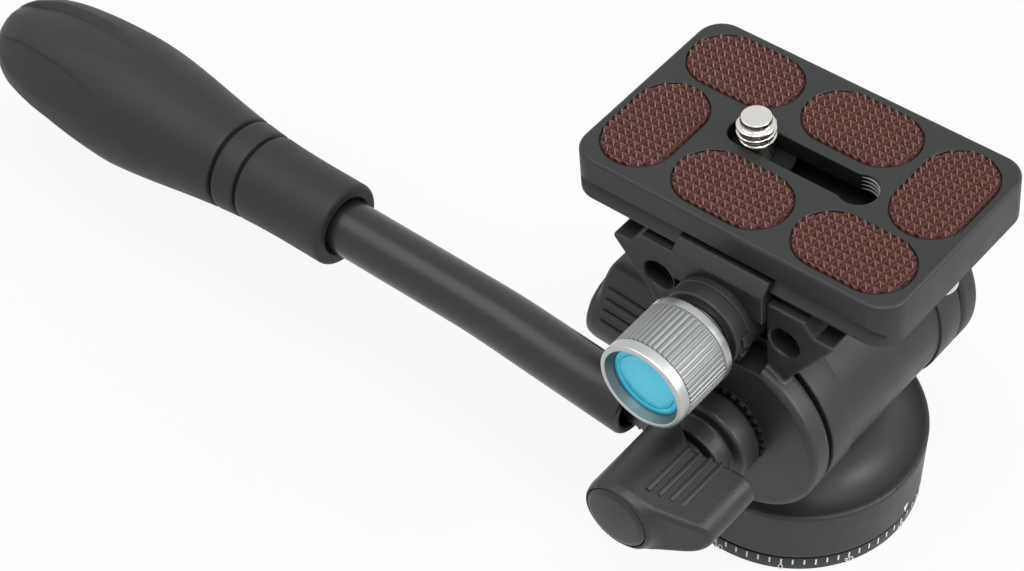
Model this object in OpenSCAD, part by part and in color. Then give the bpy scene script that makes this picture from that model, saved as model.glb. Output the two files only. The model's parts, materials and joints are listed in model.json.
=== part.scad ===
// Compact fluid video head: a panning base, a damped tilt barrel between two cheeks,
// a dovetail clamp with its quick release plate, and a pan handle on a toothed rosette.
// Frame: origin at the tripod socket's mouth, +Z up, +X towards the lens, +Y to the left.

/* [Base] */
// Diameter of the base and of the drum above it
base_d = 44.2; // [42:0.1:48]
// Height of the ring that carries the pan scale
dial_h = 2.9; // [2.7:0.1:3.6]
// Diameter of the raised middle of the base, inside the drum
plateau_d = 36; // [32:0.5:37]
// Height of the raised middle above the scale ring
plateau_h = 3.1; // [2.6:0.1:3.6]
// Radius of the tripod thread's bore
socket_r = 4; // [3:0.05:4.1]
// Depth of the tripod thread
socket_depth = 10; // [8:0.5:13]
// Radius of the pan spindle
spindle_r = 7; // [6:0.1:7.5]
// Diameter of the spindle's flange under the base
flange_d = 24; // [23:0.5:28]
// Thickness of the spindle's flange
flange_t = 2.4; // [2:0.1:3]
// Radius of the circle that the base screws lie on
base_screw_circle = 9.5; // [9.4:0.1:9.6]

/* [Pan housing] */
// Height of the drum's wall
drum_h = 11.1; // [9.5:0.1:12]
// Radius of the hollow curve from the drum up to the neck
flare_r = 7; // [5:0.25:7.5]
// Height of the pan bush
pan_bush_h = 3.2; // [2.6:0.1:3.6]
// Wall of the pan bush
pan_bush_wall = 2; // [1.4:0.1:2.4]
// Height of the pan lock's axis
pan_lock_z = 13.9; // [13:0.1:14]
// Reach of the pan lock's boss from the pan axis
pan_boss_reach = 22.4; // [22.2:0.1:24]

/* [Tilt] */
// Height of the tilt axis
tilt_axis_z = 34.2; // [34:0.1:38]
// Tilt of the platform at rest, front end up, in degrees
rest_tilt = 5; // [0:0.5:10]
// Diameter of the tilt barrel's end bands
barrel_d = 35.2; // [34:0.1:36]
// How far the barrel's waist is turned below its end bands
waist_depth = 0.4; // [0.2:0.05:0.8]
// Width of each end band
band_w = 5.5; // [4:0.25:8]
// Front end of the barrel, from the pan axis
barrel_front = 17; // [16.5:0.1:18]
// Rear end of the barrel, from the pan axis
barrel_rear = 18.3; // [17.5:0.1:19]
// Radius of the damping chamber inside the barrel
chamber_r = 12; // [11:0.1:12.4]
// Thickness of the walls that close the damping chamber
chamber_wall = 3.5; // [3:0.1:4]
// Radius of the tilt axle
axle_r = 5; // [4.5:0.1:5.5]
// Wall of the tilt bushes
tilt_bush_wall = 2; // [1.5:0.1:2.5]
// Thickness of one damping disc
disc_t = 1.2; // [0.8:0.1:1.5]
// Thickness of each cheek
cheek_t = 4.8; // [4.2:0.1:5.4]
// Rounding of each cheek's outer edge
cheek_round = 1.5; // [0.8:0.1:2.2]

/* [Clamp] */
// Length of the clamp along the plate
clamp_l = 41.5; // [40:0.5:44]
// Shift of the clamp's middle from the tilt axis
clamp_shift = -1.75; // [-2.5:0.05:0]
// Height of the clamp's bed above the barrel
bed_rise = 13.1; // [12.8:0.1:15.4]
// Thickness of the bridge under the bed
bridge_t = 4.5; // [3.5:0.1:5]
// Front face of the clamp's ears, from the pan axis
ear_front = 20; // [19.8:0.1:20.6]
// Thickness of the ears
ear_t = 7; // [6.5:0.1:8]
// Height of the ears' outer corners above the barrel
ear_tip_rise = 9.6; // [8.9:0.1:10.4]
// Height of the ears beside the jaw above the barrel
ear_top_rise = 12; // [11.4:0.1:12.4]
// Distance between the two screw holes in the ears
ear_hole_spacing = 24; // [23.4:0.1:24.6]
// Diameter of the screw holes in the ears
ear_hole_d = 5.4; // [5:0.1:5.6]
// Height of the clamp screw above the barrel
clamp_axis_rise = 5.25; // [4.9:0.05:5.6]
// Length of the moving jaw
jaw_l = 17.2; // [16:0.2:17.6]
// Radius of the round boss on the moving jaw
jaw_boss_r = 7.05; // [6.4:0.05:7.2]
// Reach of the jaw's boss in front of the jaw
jaw_boss_l = 4.2; // [3:0.1:5]
// Thickness of the moving jaw
jaw_t = 3.4; // [3:0.1:3.6]
// Radius of the jaw's guide pins
guide_r = 1.3; // [1:0.05:1.5]
// Distance between the jaw's guide pins
guide_spacing = 12.4; // [11.6:0.1:13]
// Radius of the clamp screw
clamp_screw_r = 2.5; // [2:0.05:2.7]

/* [Plate] */
// Length of the quick release plate
plate_l = 60; // [58:0.5:66]
// Width of the quick release plate
plate_w = 38; // [37.6:0.1:38.4]
// Thickness of the quick release plate
plate_t = 8.4; // [8.2:0.1:9.5]
// Rounding of the plate's corners
plate_corner_r = 4.5; // [3:0.1:6]
// Depth of the dovetail grooves
dovetail_depth = 1.6; // [1.4:0.05:1.8]
// Height of the plate's lower lip below the dovetail groove
lip_h = 0.5; // [0.4:0.05:0.7]
// Length of one grip pad
pad_l = 20; // [18:0.25:20.5]
// Width of one grip pad
pad_w = 12.1; // [10:0.1:12.3]
// How far the pads stand above the plate
pad_proud = 0.5; // [0.3:0.05:0.8]
// How deep the pads are let into the plate
pad_inlay = 0.7; // [0.4:0.05:1]
// Length of the plate's slot
slot_l = 27; // [24:0.25:27.5]
// Width of the plate's slot
slot_w = 7; // [6.6:0.05:7.2]
// Place of the camera screw along the slot, from the plate's middle
camera_screw_x = -7.8; // [-9.5:0.1:9.5]
// Radius of the camera screw
camera_screw_r = 3.175; // [3.1:0.005:3.2]
// Radius of the camera screw's neck below its thread
camera_neck_r = 2.6; // [2.3:0.05:2.8]
// How far the camera screw stands above the plate
camera_screw_h = 4.6; // [4:0.1:6.5]
// Radius of the camera screw's head
camera_head_r = 5.8; // [5:0.1:6]
// Distance of the stop screws from the plate's middle
stop_screw_x = 26.2; // [25.6:0.1:26.6]
// Radius of a stop screw's head
stop_head_r = 3; // [2.5:0.1:3.2]
// Height of a stop screw's head
stop_head_h = 2.9; // [2:0.1:3]

/* [Handle] */
// Plane of the handle, from the pan axis
handle_y = 26.8; // [26.6:0.05:27.4]
// Droop of the handle at rest, in degrees
handle_droop = 3.4; // [0:0.1:6]
// Outward bend of the shaft's last stretch before the head, in degrees
crank_angle = 3.4; // [3:0.1:4.5]
// Distance of that bend from the tilt axis
crank_x = 43.4; // [40:0.2:46]
// Radius of the handle's boss on the rosette
boss_r = 8.2; // [7.6:0.1:8.6]
// Width of the handle's boss
boss_w = 4.8; // [4.2:0.1:5]
// Radius of the handle's shaft
shaft_r = 4.9; // [4.5:0.05:5]
// Start of the handle's shaft, from the tilt axis
shaft_start = 12.8; // [12.5:0.1:15]
// Start of the grip, from the tilt axis
grip_start = 75.8; // [70:0.1:85]
// Length of the grip
grip_l = 80.8; // [76:0.1:90]
// Radius of the grip's collar
grip_neck_r = 7.6; // [7:0.1:8]
// Largest radius of the grip
grip_bulb_r = 11.9; // [11:0.1:13]
// Number of teeth on the rosette
rosette_teeth = 30; // [24:1:36]
// Height of the rosette's teeth
tooth_h = 0.7; // [0.5:0.05:0.8]

/* [Knobs] */
// Radius of a wing knob's hub
hub_r = 7.2; // [6.4:0.1:7.4]
// Length of a wing knob
wing_l = 17; // [15:0.2:18]
// Reach of the handle lock's wing from its axis
wing_reach = 13.2; // [12:0.1:13.4]
// Reach of the pan lock's wing from its axis
pan_wing_reach = 15.6; // [14:0.1:16]
// How far the handle lock's grip stands off its screw's axis
knob_lift = 1.4; // [0:0.1:1.5]
// Half of the wing's thickness at its tip
wing_tip_r = 3.7; // [3:0.1:4.2]
// Radius of a wing knob's cap
cap_r = 5.7; // [5:0.1:6]
// Height of a wing knob's cap
cap_t = 1.2; // [0.8:0.1:1.6]
// Radius of a wing knob's stud
stud_r = 2.95; // [2.5:0.05:3]
// Radius of the clamp knob
clamp_knob_r = 7.8; // [7:0.1:8]
// Length of the clamp knob
clamp_knob_l = 12.75; // [11:0.25:14]
// Number of flutes around the clamp knob
clamp_knob_flutes = 44; // [36:2:60]
// Radius of the blue disc in the clamp knob
knob_disc_r = 6.1; // [5.6:0.1:6.4]

/* [Hidden] */
$fn = 96;
// Clearances: a bore around a turning shaft, faces that pass each other, and seated pieces
run_gap = 0.05;
pass_gap = 0.3;
seat_gap = 0.02;
groove_gap = 0.4;
cut = 1;
arc_steps = 8;

// Base stack, upwards
base_r = base_d / 2;
plateau_z = dial_h + plateau_h;
drag_washer_t = 0.8;
ceiling_z = plateau_z + drag_washer_t + pass_gap / 2;
drum_bottom = dial_h + pass_gap;
drum_top = drum_bottom + drum_h;
pan_bush_r = spindle_r + run_gap + pan_bush_wall;
pan_bore_r = spindle_r + 0.6;
ledge_z = pan_lock_z + stud_r + 0.25;
spindle_shoulder_z = ledge_z + pass_gap / 2;
spindle_thread_r = spindle_r - 1;
pan_washer_t = 1;
pan_washer_r = spindle_r + 2.6;
pan_nut_h = 3;
pan_nut_r = spindle_r + 2;
nut_chamber_r = pan_washer_r + 0.6;
spindle_top_z = spindle_shoulder_z + pan_washer_t + pan_nut_h + 0.3;
base_screw_r = 1.1;
base_head_r = 2;
base_head_h = 1.3;
base_screw_l = plateau_z - 0.8;

// Tilt barrel and cheeks, along Y
barrel_r = barrel_d / 2;
barrel_l = barrel_front + barrel_rear;
front_cheek_in = -barrel_front - groove_gap;
front_cheek_out = front_cheek_in - cheek_t;
rear_cheek_in = barrel_rear + groove_gap;
rear_cheek_out = rear_cheek_in + cheek_t;
tilt_bush_r = axle_r + run_gap + tilt_bush_wall;
chamber_front = -barrel_front + chamber_wall;
chamber_rear = barrel_rear - chamber_wall;
axle_recess = 2.2;
axle_head_r = axle_r + 2.5;
axle_head_t = 1.1;
axle_screw_r = 2;
axle_screw_l = 8;
rear_cap_r = axle_r + 4;
rear_cap_t = 0.8;
seal_r = 0.8;
seal_mid_r = axle_r + run_gap + seal_r;
disc_space = 2.6;
disc_first = chamber_front + 2 * seal_r + 1.2;
disc_last = chamber_rear - 2 * seal_r - 1.2 - disc_t;
rotor_count = floor((disc_last - disc_first) / (2 * disc_space)) + 1;

// Clamp, with its heights above the tilt axis
clamp_half = clamp_l / 2;
bed_z = barrel_r + bed_rise;
ear_tip_z = barrel_r + ear_tip_rise;
ear_top_z = barrel_r + ear_top_rise;
clamp_axis_z = barrel_r + clamp_axis_rise;
ear_in = -ear_front + ear_t;
ear_floor_z = barrel_r + 0.8;
ear_slope_in = 15.5;
ear_slope_out = 17.5;
notch_half = jaw_l / 2 + 0.4;
notch_floor_z = clamp_axis_z - jaw_boss_r - 0.4;
ear_screw_r = 2;
ear_head_h = 2.4;
ear_shoulder = 2;
ear_screw_l = 9;
lug_rear = ear_in + 9;
bridge_z = bed_z - bridge_t;

// Plate, upwards from its bottom face
plate_z = bed_z + pass_gap - 0.1;
plate_half_w = plate_w / 2;
groove_low = plate_z + lip_h;
groove_mid = groove_low + dovetail_depth;
groove_top = groove_mid + dovetail_depth;
plate_top = plate_z + plate_t;
head_slot_w = 2 * camera_head_r + 1;
head_slot_l = slot_l - slot_w + head_slot_w;
head_slot_z = plate_z + 5.2;
camera_head_h = 3.8;
camera_head_z = plate_z + 0.5;
camera_thread_z = plate_top + pad_proud + 0.1;
camera_tip_z = plate_top + camera_screw_h;
retainer_t = 0.6;
retainer_gap = 0.15;
retainer_z = camera_head_z + camera_head_h + retainer_gap;
stop_shank_r = 1.5;
stop_shank_l = 3.6;
// Pads as [x, y, quarter turns]
pad_long_x = 18.2;
pad_mid_x = 4.1;
pad_edge_x = 22.3;
pad_row_y = 11.1;
pad_end_y = 6.7;
pads = [
    [-pad_long_x, pad_row_y, 0], [pad_mid_x, pad_row_y, 0],
    [-pad_mid_x, -pad_row_y, 0], [pad_long_x, -pad_row_y, 0],
    [-pad_edge_x, -pad_end_y, 1], [pad_edge_x, pad_end_y, 1],
];

// Jaws: the lip that reaches into a dovetail groove
jaw_face = plate_half_w + pass_gap - 0.1;
jaw_out = jaw_face + 1.8;
jaw_in = jaw_out - jaw_t;
jaw_low_z = bed_z - 5.2;
jaw_lip_z = groove_low - 0.2;
lip_top_z = groove_mid + 0.1;
lip_tip = plate_half_w - dovetail_depth + 0.4;
flank_sum = plate_half_w + groove_low + 0.2 * sqrt(2);
clamp_knob_back = -jaw_out - jaw_boss_l - 2;
clamp_knob_face = clamp_knob_back - clamp_knob_l;
knob_neck_r = 5;
knob_recess = 1;
knob_disc_t = 0.6;
clamp_screw_in = ear_in + 7.5;
guide_rise = 5.4;
guide_cover = 1;
guide_depth = 6.8;
guide_z = clamp_axis_z + guide_rise;
guide_out = -jaw_out + guide_cover;
guide_in = ear_in + guide_depth;

// Handle and its lock, along Y
rosette_y = front_cheek_out - tooth_h;
boss_back = rosette_y - pass_gap;
boss_front = boss_back - boss_w;
boss_hub_r = 6;
lock_back = boss_front - 3.7;
boss_hub_y = lock_back + pass_gap;
neck_r = 3.6;
lock_stud_in = 12;
tenon_l = 8;
crank_l = (crank_x - shaft_start) / cos(crank_angle);
crank_r = shaft_r + 0.15;
set_screw_x = crank_l - 4.5;
set_screw_r = 1.5;
collar_l = 19;
ring_l = 4.8;
ring_groove = 0.4;
grip_end = grip_start + grip_l;
grip_seam_a = grip_start + collar_l;
grip_seam_b = grip_seam_a + ring_groove + ring_l;
shaft_in_grip = 24;
shaft_end = grip_seam_b + shaft_in_grip;

// Pan lock, along X
pan_lock_back = -pan_boss_reach - 0.4;
brake_tip = -spindle_r - 0.35;
brake_l = 5;
pan_stud_tip = brake_tip - brake_l - 0.3;

// Placing
module tilted() translate([0, 0, tilt_axis_z]) rotate([0, -rest_tilt, 0]) children();
module on_clamp() tilted() translate([clamp_shift, 0, 0]) children();
module on_handle() translate([0, -handle_y, tilt_axis_z]) rotate([0, -handle_droop, 0]) children();
// The shaft's last stretch: origin at its bend, +X towards the head
module on_crank() on_handle() translate([-crank_x, 0, 0]) rotate([0, 0, -crank_angle]) children();
module on_handle_lock() translate([0, lock_back, tilt_axis_z]) rotate([90, 0, 0]) children();
module on_pan_lock() translate([pan_lock_back, 0, pan_lock_z]) rotate([0, -90, 0]) children();

// Shapes that repeat
module along_y(y0, y1, r) {
    translate([0, y0, 0]) rotate([-90, 0, 0]) cylinder(h = y1 - y0, r = r);
}

module along_x(x0, x1, r) {
    translate([x0, 0, 0]) rotate([0, 90, 0]) cylinder(h = x1 - x0, r = r);
}

module outline_along_y(y0, y1) {
    translate([0, y1, 0]) rotate([90, 0, 0]) linear_extrude(y1 - y0) children();
}

module outline_along_x(x0, x1) {
    translate([x0, 0, 0]) rotate([90, 0, 90]) linear_extrude(x1 - x0) children();
}

module ring(h, r_out, r_in) {
    difference() {
        cylinder(h = h, r = r_out);
        translate([0, 0, -cut]) cylinder(h = h + 2 * cut, r = r_in);
    }
}

module ring_y(y0, y1, r_out, r_in) {
    translate([0, y0, 0]) rotate([-90, 0, 0]) ring(y1 - y0, r_out, r_in);
}

module obround(l, w) {
    square([l - w, w], center = true);
    for (side = [-1, 1]) translate([side * (l - w) / 2, 0]) circle(d = w);
}

module rounded_rectangle(l, w, r) {
    square([l - 2 * r, w], center = true);
    square([l, w - 2 * r], center = true);
    for (sx = [-1, 1], sy = [-1, 1]) translate([sx * (l / 2 - r), sy * (w / 2 - r)]) circle(r = r);
}

module base_screw_places() {
    for (i = [0:2]) rotate([0, 0, 120 * i + 30]) translate([base_screw_circle, 0, 0]) children();
}

// A disc along Y whose far edge is rounded, from y0 out to y1
module cheek_disc(y0, y1) {
    thick = abs(y1 - y0);
    edge = [for (i = [0:arc_steps]) let (a = 90 * i / arc_steps)
        [barrel_r - cheek_round + cheek_round * cos(a), thick - cheek_round + cheek_round * sin(a)]];
    translate([0, y0, 0]) rotate([y1 > y0 ? -90 : 90, 0, 0])
        rotate_extrude() polygon(concat([[0, 0], [barrel_r, 0]], edge, [[0, thick]]));
}

// The ears' outline, a fan from the tilt axis up to the stepped top
module ear_outline() {
    left = clamp_shift - clamp_half;
    right = clamp_shift + clamp_half;
    polygon([
        [0, 0], [right, ear_tip_z - 0.8], [right, ear_tip_z],
        [clamp_shift + ear_slope_out, ear_tip_z], [clamp_shift + ear_slope_in, ear_top_z],
        [clamp_shift - ear_slope_in, ear_top_z], [clamp_shift - ear_slope_out, ear_tip_z],
        [left, ear_tip_z], [left, ear_tip_z - 0.8],
    ]);
}

// The part of the ears' outline that stands clear above the barrel
module raised_ear_outline() {
    intersection() {
        ear_outline();
        translate([-clamp_l, ear_floor_z]) square([2 * clamp_l, clamp_l]);
    }
}

// Section of the fixed jaw's or the moving jaw's lip: y outward from the plate, z up
module jaw_section(inner) {
    polygon([
        [inner, jaw_low_z], [jaw_out, jaw_low_z], [jaw_out, jaw_lip_z],
        [jaw_out - (lip_top_z - jaw_lip_z), lip_top_z], [lip_tip, lip_top_z],
        [lip_tip, flank_sum - lip_tip], [jaw_face, flank_sum - jaw_face],
        [jaw_face, bed_z - 0.1], [inner, bed_z - 0.1],
    ]);
}

// A wing knob along Z from its inner end, with its wing along X
module wing_outline(reach) {
    tip_x = reach - wing_tip_r;
    lean = acos((hub_r - wing_tip_r) / tip_x);
    // The flanks run a little inside the two circles, so that they cross them cleanly
    flank_hub = 0.985 * hub_r;
    flank_tip = 0.985 * wing_tip_r;
    circle(r = hub_r);
    translate([tip_x, 0]) circle(r = wing_tip_r);
    polygon([
        [flank_hub * cos(lean), flank_hub * sin(lean)], [0, 0], [flank_hub * cos(lean), -flank_hub * sin(lean)],
        [tip_x + flank_tip * cos(lean), -flank_tip * sin(lean)],
        [tip_x + flank_tip * cos(lean), flank_tip * sin(lean)],
    ]);
}

// Side view of a wing knob: how far its wing falls back at the tip, and the tip corner's bevel
module wing_side(reach, drop, bevel) {
    polygon([
        [-2 * hub_r, 0], [reach + cut, 0], [reach + cut, wing_l - drop - bevel - cut],
        [reach - bevel, wing_l - drop + 0.2 * bevel], [cap_r + 0.4, wing_l], [-2 * hub_r, wing_l],
    ]);
}

module wing_knob(reach, drop, bevel, rib_x, rib_z, lift) {
    rib_l = 10.3;
    rib_w = 1.1;
    rib_h = 0.5;
    edge = hub_r - cap_r;
    lean = 90 - acos((hub_r - wing_tip_r) / (reach - wing_tip_r));
    difference() {
        translate([0, lift, 0]) {
            intersection() {
                linear_extrude(wing_l) wing_outline(reach);
                outline_along_y(-2 * hub_r, 2 * hub_r) wing_side(reach, drop, bevel);
            }
            for (side = [-1, 1], i = [0:3])
                mirror([0, side < 0 ? 1 : 0, 0]) rotate([0, 0, -lean])
                    translate([rib_x + 2.2 * i, hub_r - 0.3, rib_z]) cube([rib_w, rib_h + 0.3, rib_l]);
        }
        // The hub's rounded outer edge
        translate([0, lift, 0]) rotate_extrude() polygon([
            [cap_r, wing_l + cut], [cap_r, wing_l], [hub_r + 0.3, wing_l - edge - 0.3],
            [reach + cut, wing_l - edge - 0.3], [reach + cut, wing_l + cut],
        ]);
        translate([0, lift, wing_l - cap_t / 2]) cylinder(h = wing_l, r = cap_r - 0.3 + seat_gap);
        translate([0, 0, -cut]) cylinder(h = wing_l - 4 + cut, r = stud_r + seat_gap);
    }
}

module wing_cap(lift) translate([0, lift, wing_l - cap_t / 2]) cylinder(h = cap_t, r = cap_r - 0.3);

// Base, fixed to the tripod
module base_dial() color("dimgray") difference() {
    union() {
        cylinder(h = dial_h, r = base_r);
        cylinder(h = plateau_z, d = plateau_d);
    }
    translate([0, 0, -cut]) cylinder(h = plateau_z + 2 * cut, r = spindle_r + seat_gap);
    translate([0, 0, -cut]) cylinder(h = flange_t + cut, r = flange_d / 2 + seat_gap);
    base_screw_places() cylinder(h = base_screw_l + 0.3, r = base_screw_r + seat_gap);
}

module pan_spindle() color("silver") difference() {
    union() {
        cylinder(h = flange_t, d = flange_d);
        cylinder(h = spindle_shoulder_z, r = spindle_r);
        cylinder(h = spindle_top_z, r = spindle_thread_r);
    }
    translate([0, 0, -cut]) cylinder(h = socket_depth + cut, r = socket_r);
    base_screw_places() translate([0, 0, -cut]) cylinder(h = flange_t + 2 * cut, r = base_screw_r + seat_gap);
    base_screw_places() translate([0, 0, -cut]) cylinder(h = base_head_h + cut, r = base_head_r + seat_gap);
}

module base_screws() color("gray") base_screw_places() difference() {
    union() {
        cylinder(h = base_head_h, r = base_head_r);
        cylinder(h = base_screw_l, r = base_screw_r);
    }
    translate([0, 0, -cut]) cylinder(h = base_head_h * 0.6 + cut, r = base_screw_r, $fn = 6);
}

module pan_drag_washer() color("ivory") translate([0, 0, plateau_z]) {
    ring(drag_washer_t, plateau_d / 2 - 0.5, spindle_r + seat_gap);
}

module pan_washer() color("silver") translate([0, 0, spindle_shoulder_z]) {
    ring(pan_washer_t, pan_washer_r, spindle_thread_r + seat_gap);
}

module pan_nut() color("silver") translate([0, 0, spindle_shoulder_z + pan_washer_t]) difference() {
    cylinder(h = pan_nut_h, r = pan_nut_r, $fn = 6);
    translate([0, 0, -cut]) cylinder(h = pan_nut_h + 2 * cut, r = spindle_thread_r + seat_gap);
}

// Panning body: the drum, its hollow flare and the tilt barrel in one casting
module drum_shape() {
    edge = 0.6;
    flare_out = base_r - edge;
    neck = flare_out - flare_r;
    flare = [for (i = [0:arc_steps]) let (a = 270 - 90 * i / arc_steps)
        [flare_out + flare_r * cos(a), drum_top + flare_r + flare_r * sin(a)]];
    rotate_extrude() polygon(concat(
        [[0, drum_bottom], [base_r, drum_bottom], [base_r, drum_top - edge]],
        flare,
        [[neck, tilt_axis_z - barrel_r / 2], [0, tilt_axis_z - barrel_r / 2]]
    ));
}

module barrel_shape() translate([0, 0, tilt_axis_z]) {
    along_y(-barrel_front, barrel_rear, barrel_r - waist_depth);
    along_y(-barrel_front, -barrel_front + band_w, barrel_r);
    along_y(barrel_rear - band_w, barrel_rear, barrel_r);
}

module pan_housing() color("dimgray") difference() {
    union() {
        drum_shape();
        barrel_shape();
        translate([0, 0, pan_lock_z]) along_x(-pan_boss_reach, 0, hub_r);
    }
    translate([0, 0, -cut]) cylinder(h = ceiling_z + cut, r = plateau_d / 2 + pass_gap);
    cylinder(h = ceiling_z + pan_bush_h, r = pan_bush_r + seat_gap);
    cylinder(h = tilt_axis_z, r = pan_bore_r);
    translate([0, 0, ledge_z]) cylinder(h = tilt_axis_z - ledge_z, r = nut_chamber_r);
    translate([0, 0, tilt_axis_z]) {
        along_y(-barrel_front - cut, barrel_rear, tilt_bush_r + seat_gap);
        along_y(chamber_front, barrel_rear + cut, chamber_r);
    }
    translate([0, 0, pan_lock_z]) along_x(-pan_boss_reach - cut, 0, stud_r + run_gap);
}

module pan_bush() color("goldenrod") translate([0, 0, ceiling_z]) {
    ring(pan_bush_h, pan_bush_r, spindle_r + run_gap);
}

module front_tilt_bush() color("goldenrod") translate([0, 0, tilt_axis_z]) {
    ring_y(-barrel_front, chamber_front, tilt_bush_r, axle_r + run_gap);
}

module rear_tilt_bush() color("goldenrod") translate([0, 0, tilt_axis_z]) {
    ring_y(chamber_rear, barrel_rear, tilt_bush_r, axle_r + run_gap);
}

module drag_cover() color("gray") translate([0, 0, tilt_axis_z]) {
    ring_y(chamber_rear, barrel_rear, chamber_r - seat_gap, tilt_bush_r + seat_gap);
}

module drag_stator_discs() color("silver") translate([0, 0, tilt_axis_z]) {
    for (i = [0:rotor_count - 2]) {
        y = disc_first + disc_space * (2 * i + 1);
        ring_y(y, y + disc_t, chamber_r - seat_gap, axle_r + 0.6);
    }
}

module axle_seals() color("black") translate([0, 0, tilt_axis_z]) {
    for (y = [chamber_front + seal_r, chamber_rear - seal_r])
        translate([0, y, 0]) rotate([-90, 0, 0]) rotate_extrude() translate([seal_mid_r, 0]) circle(r = seal_r);
}

module pan_brake_shoe() color("ivory") translate([0, 0, pan_lock_z]) {
    along_x(brake_tip - brake_l, brake_tip, stud_r);
}

module pan_lock_knob() color("darkslategray") on_pan_lock() wing_knob(pan_wing_reach, 2, 3, -0.4, 3.6, 0);
module pan_lock_cap() color("dimgray") on_pan_lock() wing_cap(0);
module pan_lock_stud() color("silver") translate([0, 0, pan_lock_z]) {
    along_x(pan_lock_back - wing_l + 4.2, pan_stud_tip, stud_r);
}

// Tilting body
module yoke_frame() color("dimgray") tilted() difference() {
    union() {
        outline_along_y(ear_in, lug_rear) raised_ear_outline();
        translate([clamp_shift - clamp_half, ear_in, bridge_z])
            cube([clamp_l, rear_cheek_in + cut - ear_in, bridge_t]);
        cheek_disc(rear_cheek_in, rear_cheek_out);
        outline_along_y(rear_cheek_in, jaw_out + 0.5) ear_outline();
        translate([clamp_shift, 0, 0]) outline_along_x(-clamp_half, clamp_half) jaw_section(jaw_in - 2);
    }
    along_y(rear_cheek_in - cut, rear_cheek_out + cut, axle_r + seat_gap);
    along_y(rear_cheek_out - axle_recess, rear_cheek_out + cut, rear_cap_r);
    translate([clamp_shift, 0, clamp_axis_z]) {
        along_y(ear_in - cut, clamp_screw_in + 1, clamp_screw_r + run_gap);
        for (side = [-1, 1]) translate([side * ear_hole_spacing / 2, 0, 0])
            along_y(ear_in - cut, ear_in + ear_screw_l - ear_shoulder + 0.5, ear_screw_r + seat_gap);
    }
    translate([clamp_shift, 0, guide_z]) for (side = [-1, 1])
        translate([side * guide_spacing / 2, 0, 0]) along_y(ear_in - cut, guide_in + 0.5, guide_r + run_gap);
}

module front_cheek() color("dimgray") tilted() difference() {
    union() {
        cheek_disc(front_cheek_in, front_cheek_out);
        outline_along_y(-ear_front, front_cheek_in) ear_outline();
        outline_along_y(-ear_front, ear_in) raised_ear_outline();
    }
    along_y(front_cheek_out - cut, front_cheek_in + cut, axle_r + seat_gap);
    translate([clamp_shift - notch_half, -ear_front - 4 * cut, notch_floor_z])
        cube([2 * notch_half, ear_t + 6 * cut, clamp_l]);
    translate([clamp_shift, 0, clamp_axis_z]) for (side = [-1, 1]) translate([side * ear_hole_spacing / 2, 0, 0]) {
        along_y(-ear_front - cut, ear_in - ear_shoulder, ear_hole_d / 2);
        along_y(-ear_front - cut, ear_in + cut, ear_screw_r + seat_gap);
    }
}

module cheek_screws() color("gray") on_clamp() translate([0, ear_in - ear_shoulder, clamp_axis_z])
    for (side = [-1, 1]) translate([side * ear_hole_spacing / 2, 0, 0]) difference() {
        union() {
            along_y(-ear_head_h, 0, ear_hole_d / 2 - 0.2);
            along_y(0, ear_screw_l, ear_screw_r);
        }
        translate([0, -ear_head_h - cut, 0]) rotate([-90, 0, 0]) cylinder(h = cut + 1.4, r = ear_screw_r, $fn = 6);
    }

module tilt_axle() color("silver") tilted() difference() {
    along_y(front_cheek_out, rear_cheek_out - axle_recess, axle_r);
    along_y(front_cheek_out - cut, front_cheek_out + lock_stud_in + 2, stud_r + run_gap);
    along_y(rear_cheek_out - axle_recess - axle_screw_l - 1.8, rear_cheek_out, axle_screw_r);
}

module drag_rotor_discs() color("gray") tilted() {
    for (i = [0:rotor_count - 1]) {
        y = disc_first + 2 * disc_space * i;
        ring_y(y, y + disc_t, chamber_r - 0.6, axle_r + seat_gap);
    }
}

module axle_screw() color("silver") tilted() translate([0, rear_cheek_out - axle_recess, 0]) {
    along_y(0, axle_head_t, axle_head_r);
    along_y(-axle_screw_l, axle_head_t / 2, axle_screw_r - seat_gap);
}

module rear_cap() color("black") tilted() translate([0, rear_cheek_out - rear_cap_t - 0.1, 0]) {
    along_y(0, rear_cap_t, rear_cap_r - seat_gap);
}

// The toothed ring that the handle's boss is pressed against
module rosette_ring() color("dimgray") tilted() {
    tooth_in = boss_r * 0.62;
    tooth_out = boss_r - 0.05;
    half_in = tooth_in * tan(90 / rosette_teeth);
    half_out = tooth_out * tan(90 / rosette_teeth);
    ring_y(rosette_y + 0.7 * tooth_h, front_cheek_out, boss_r, stud_r + 0.4);
    for (i = [0:rosette_teeth - 1]) rotate([0, 360 * i / rosette_teeth, 0])
        outline_along_y(rosette_y, front_cheek_out - 0.1) polygon([
            [tooth_in, -half_in], [tooth_out, -half_out], [tooth_out, half_out], [tooth_in, half_in],
        ]);
}

// A coil of round wire around the clamp screw, between the frame and the jaw
function coil_point(t, turns, l, r) = [r * cos(360 * turns * t), l * t, r * sin(360 * turns * t)];

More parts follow.
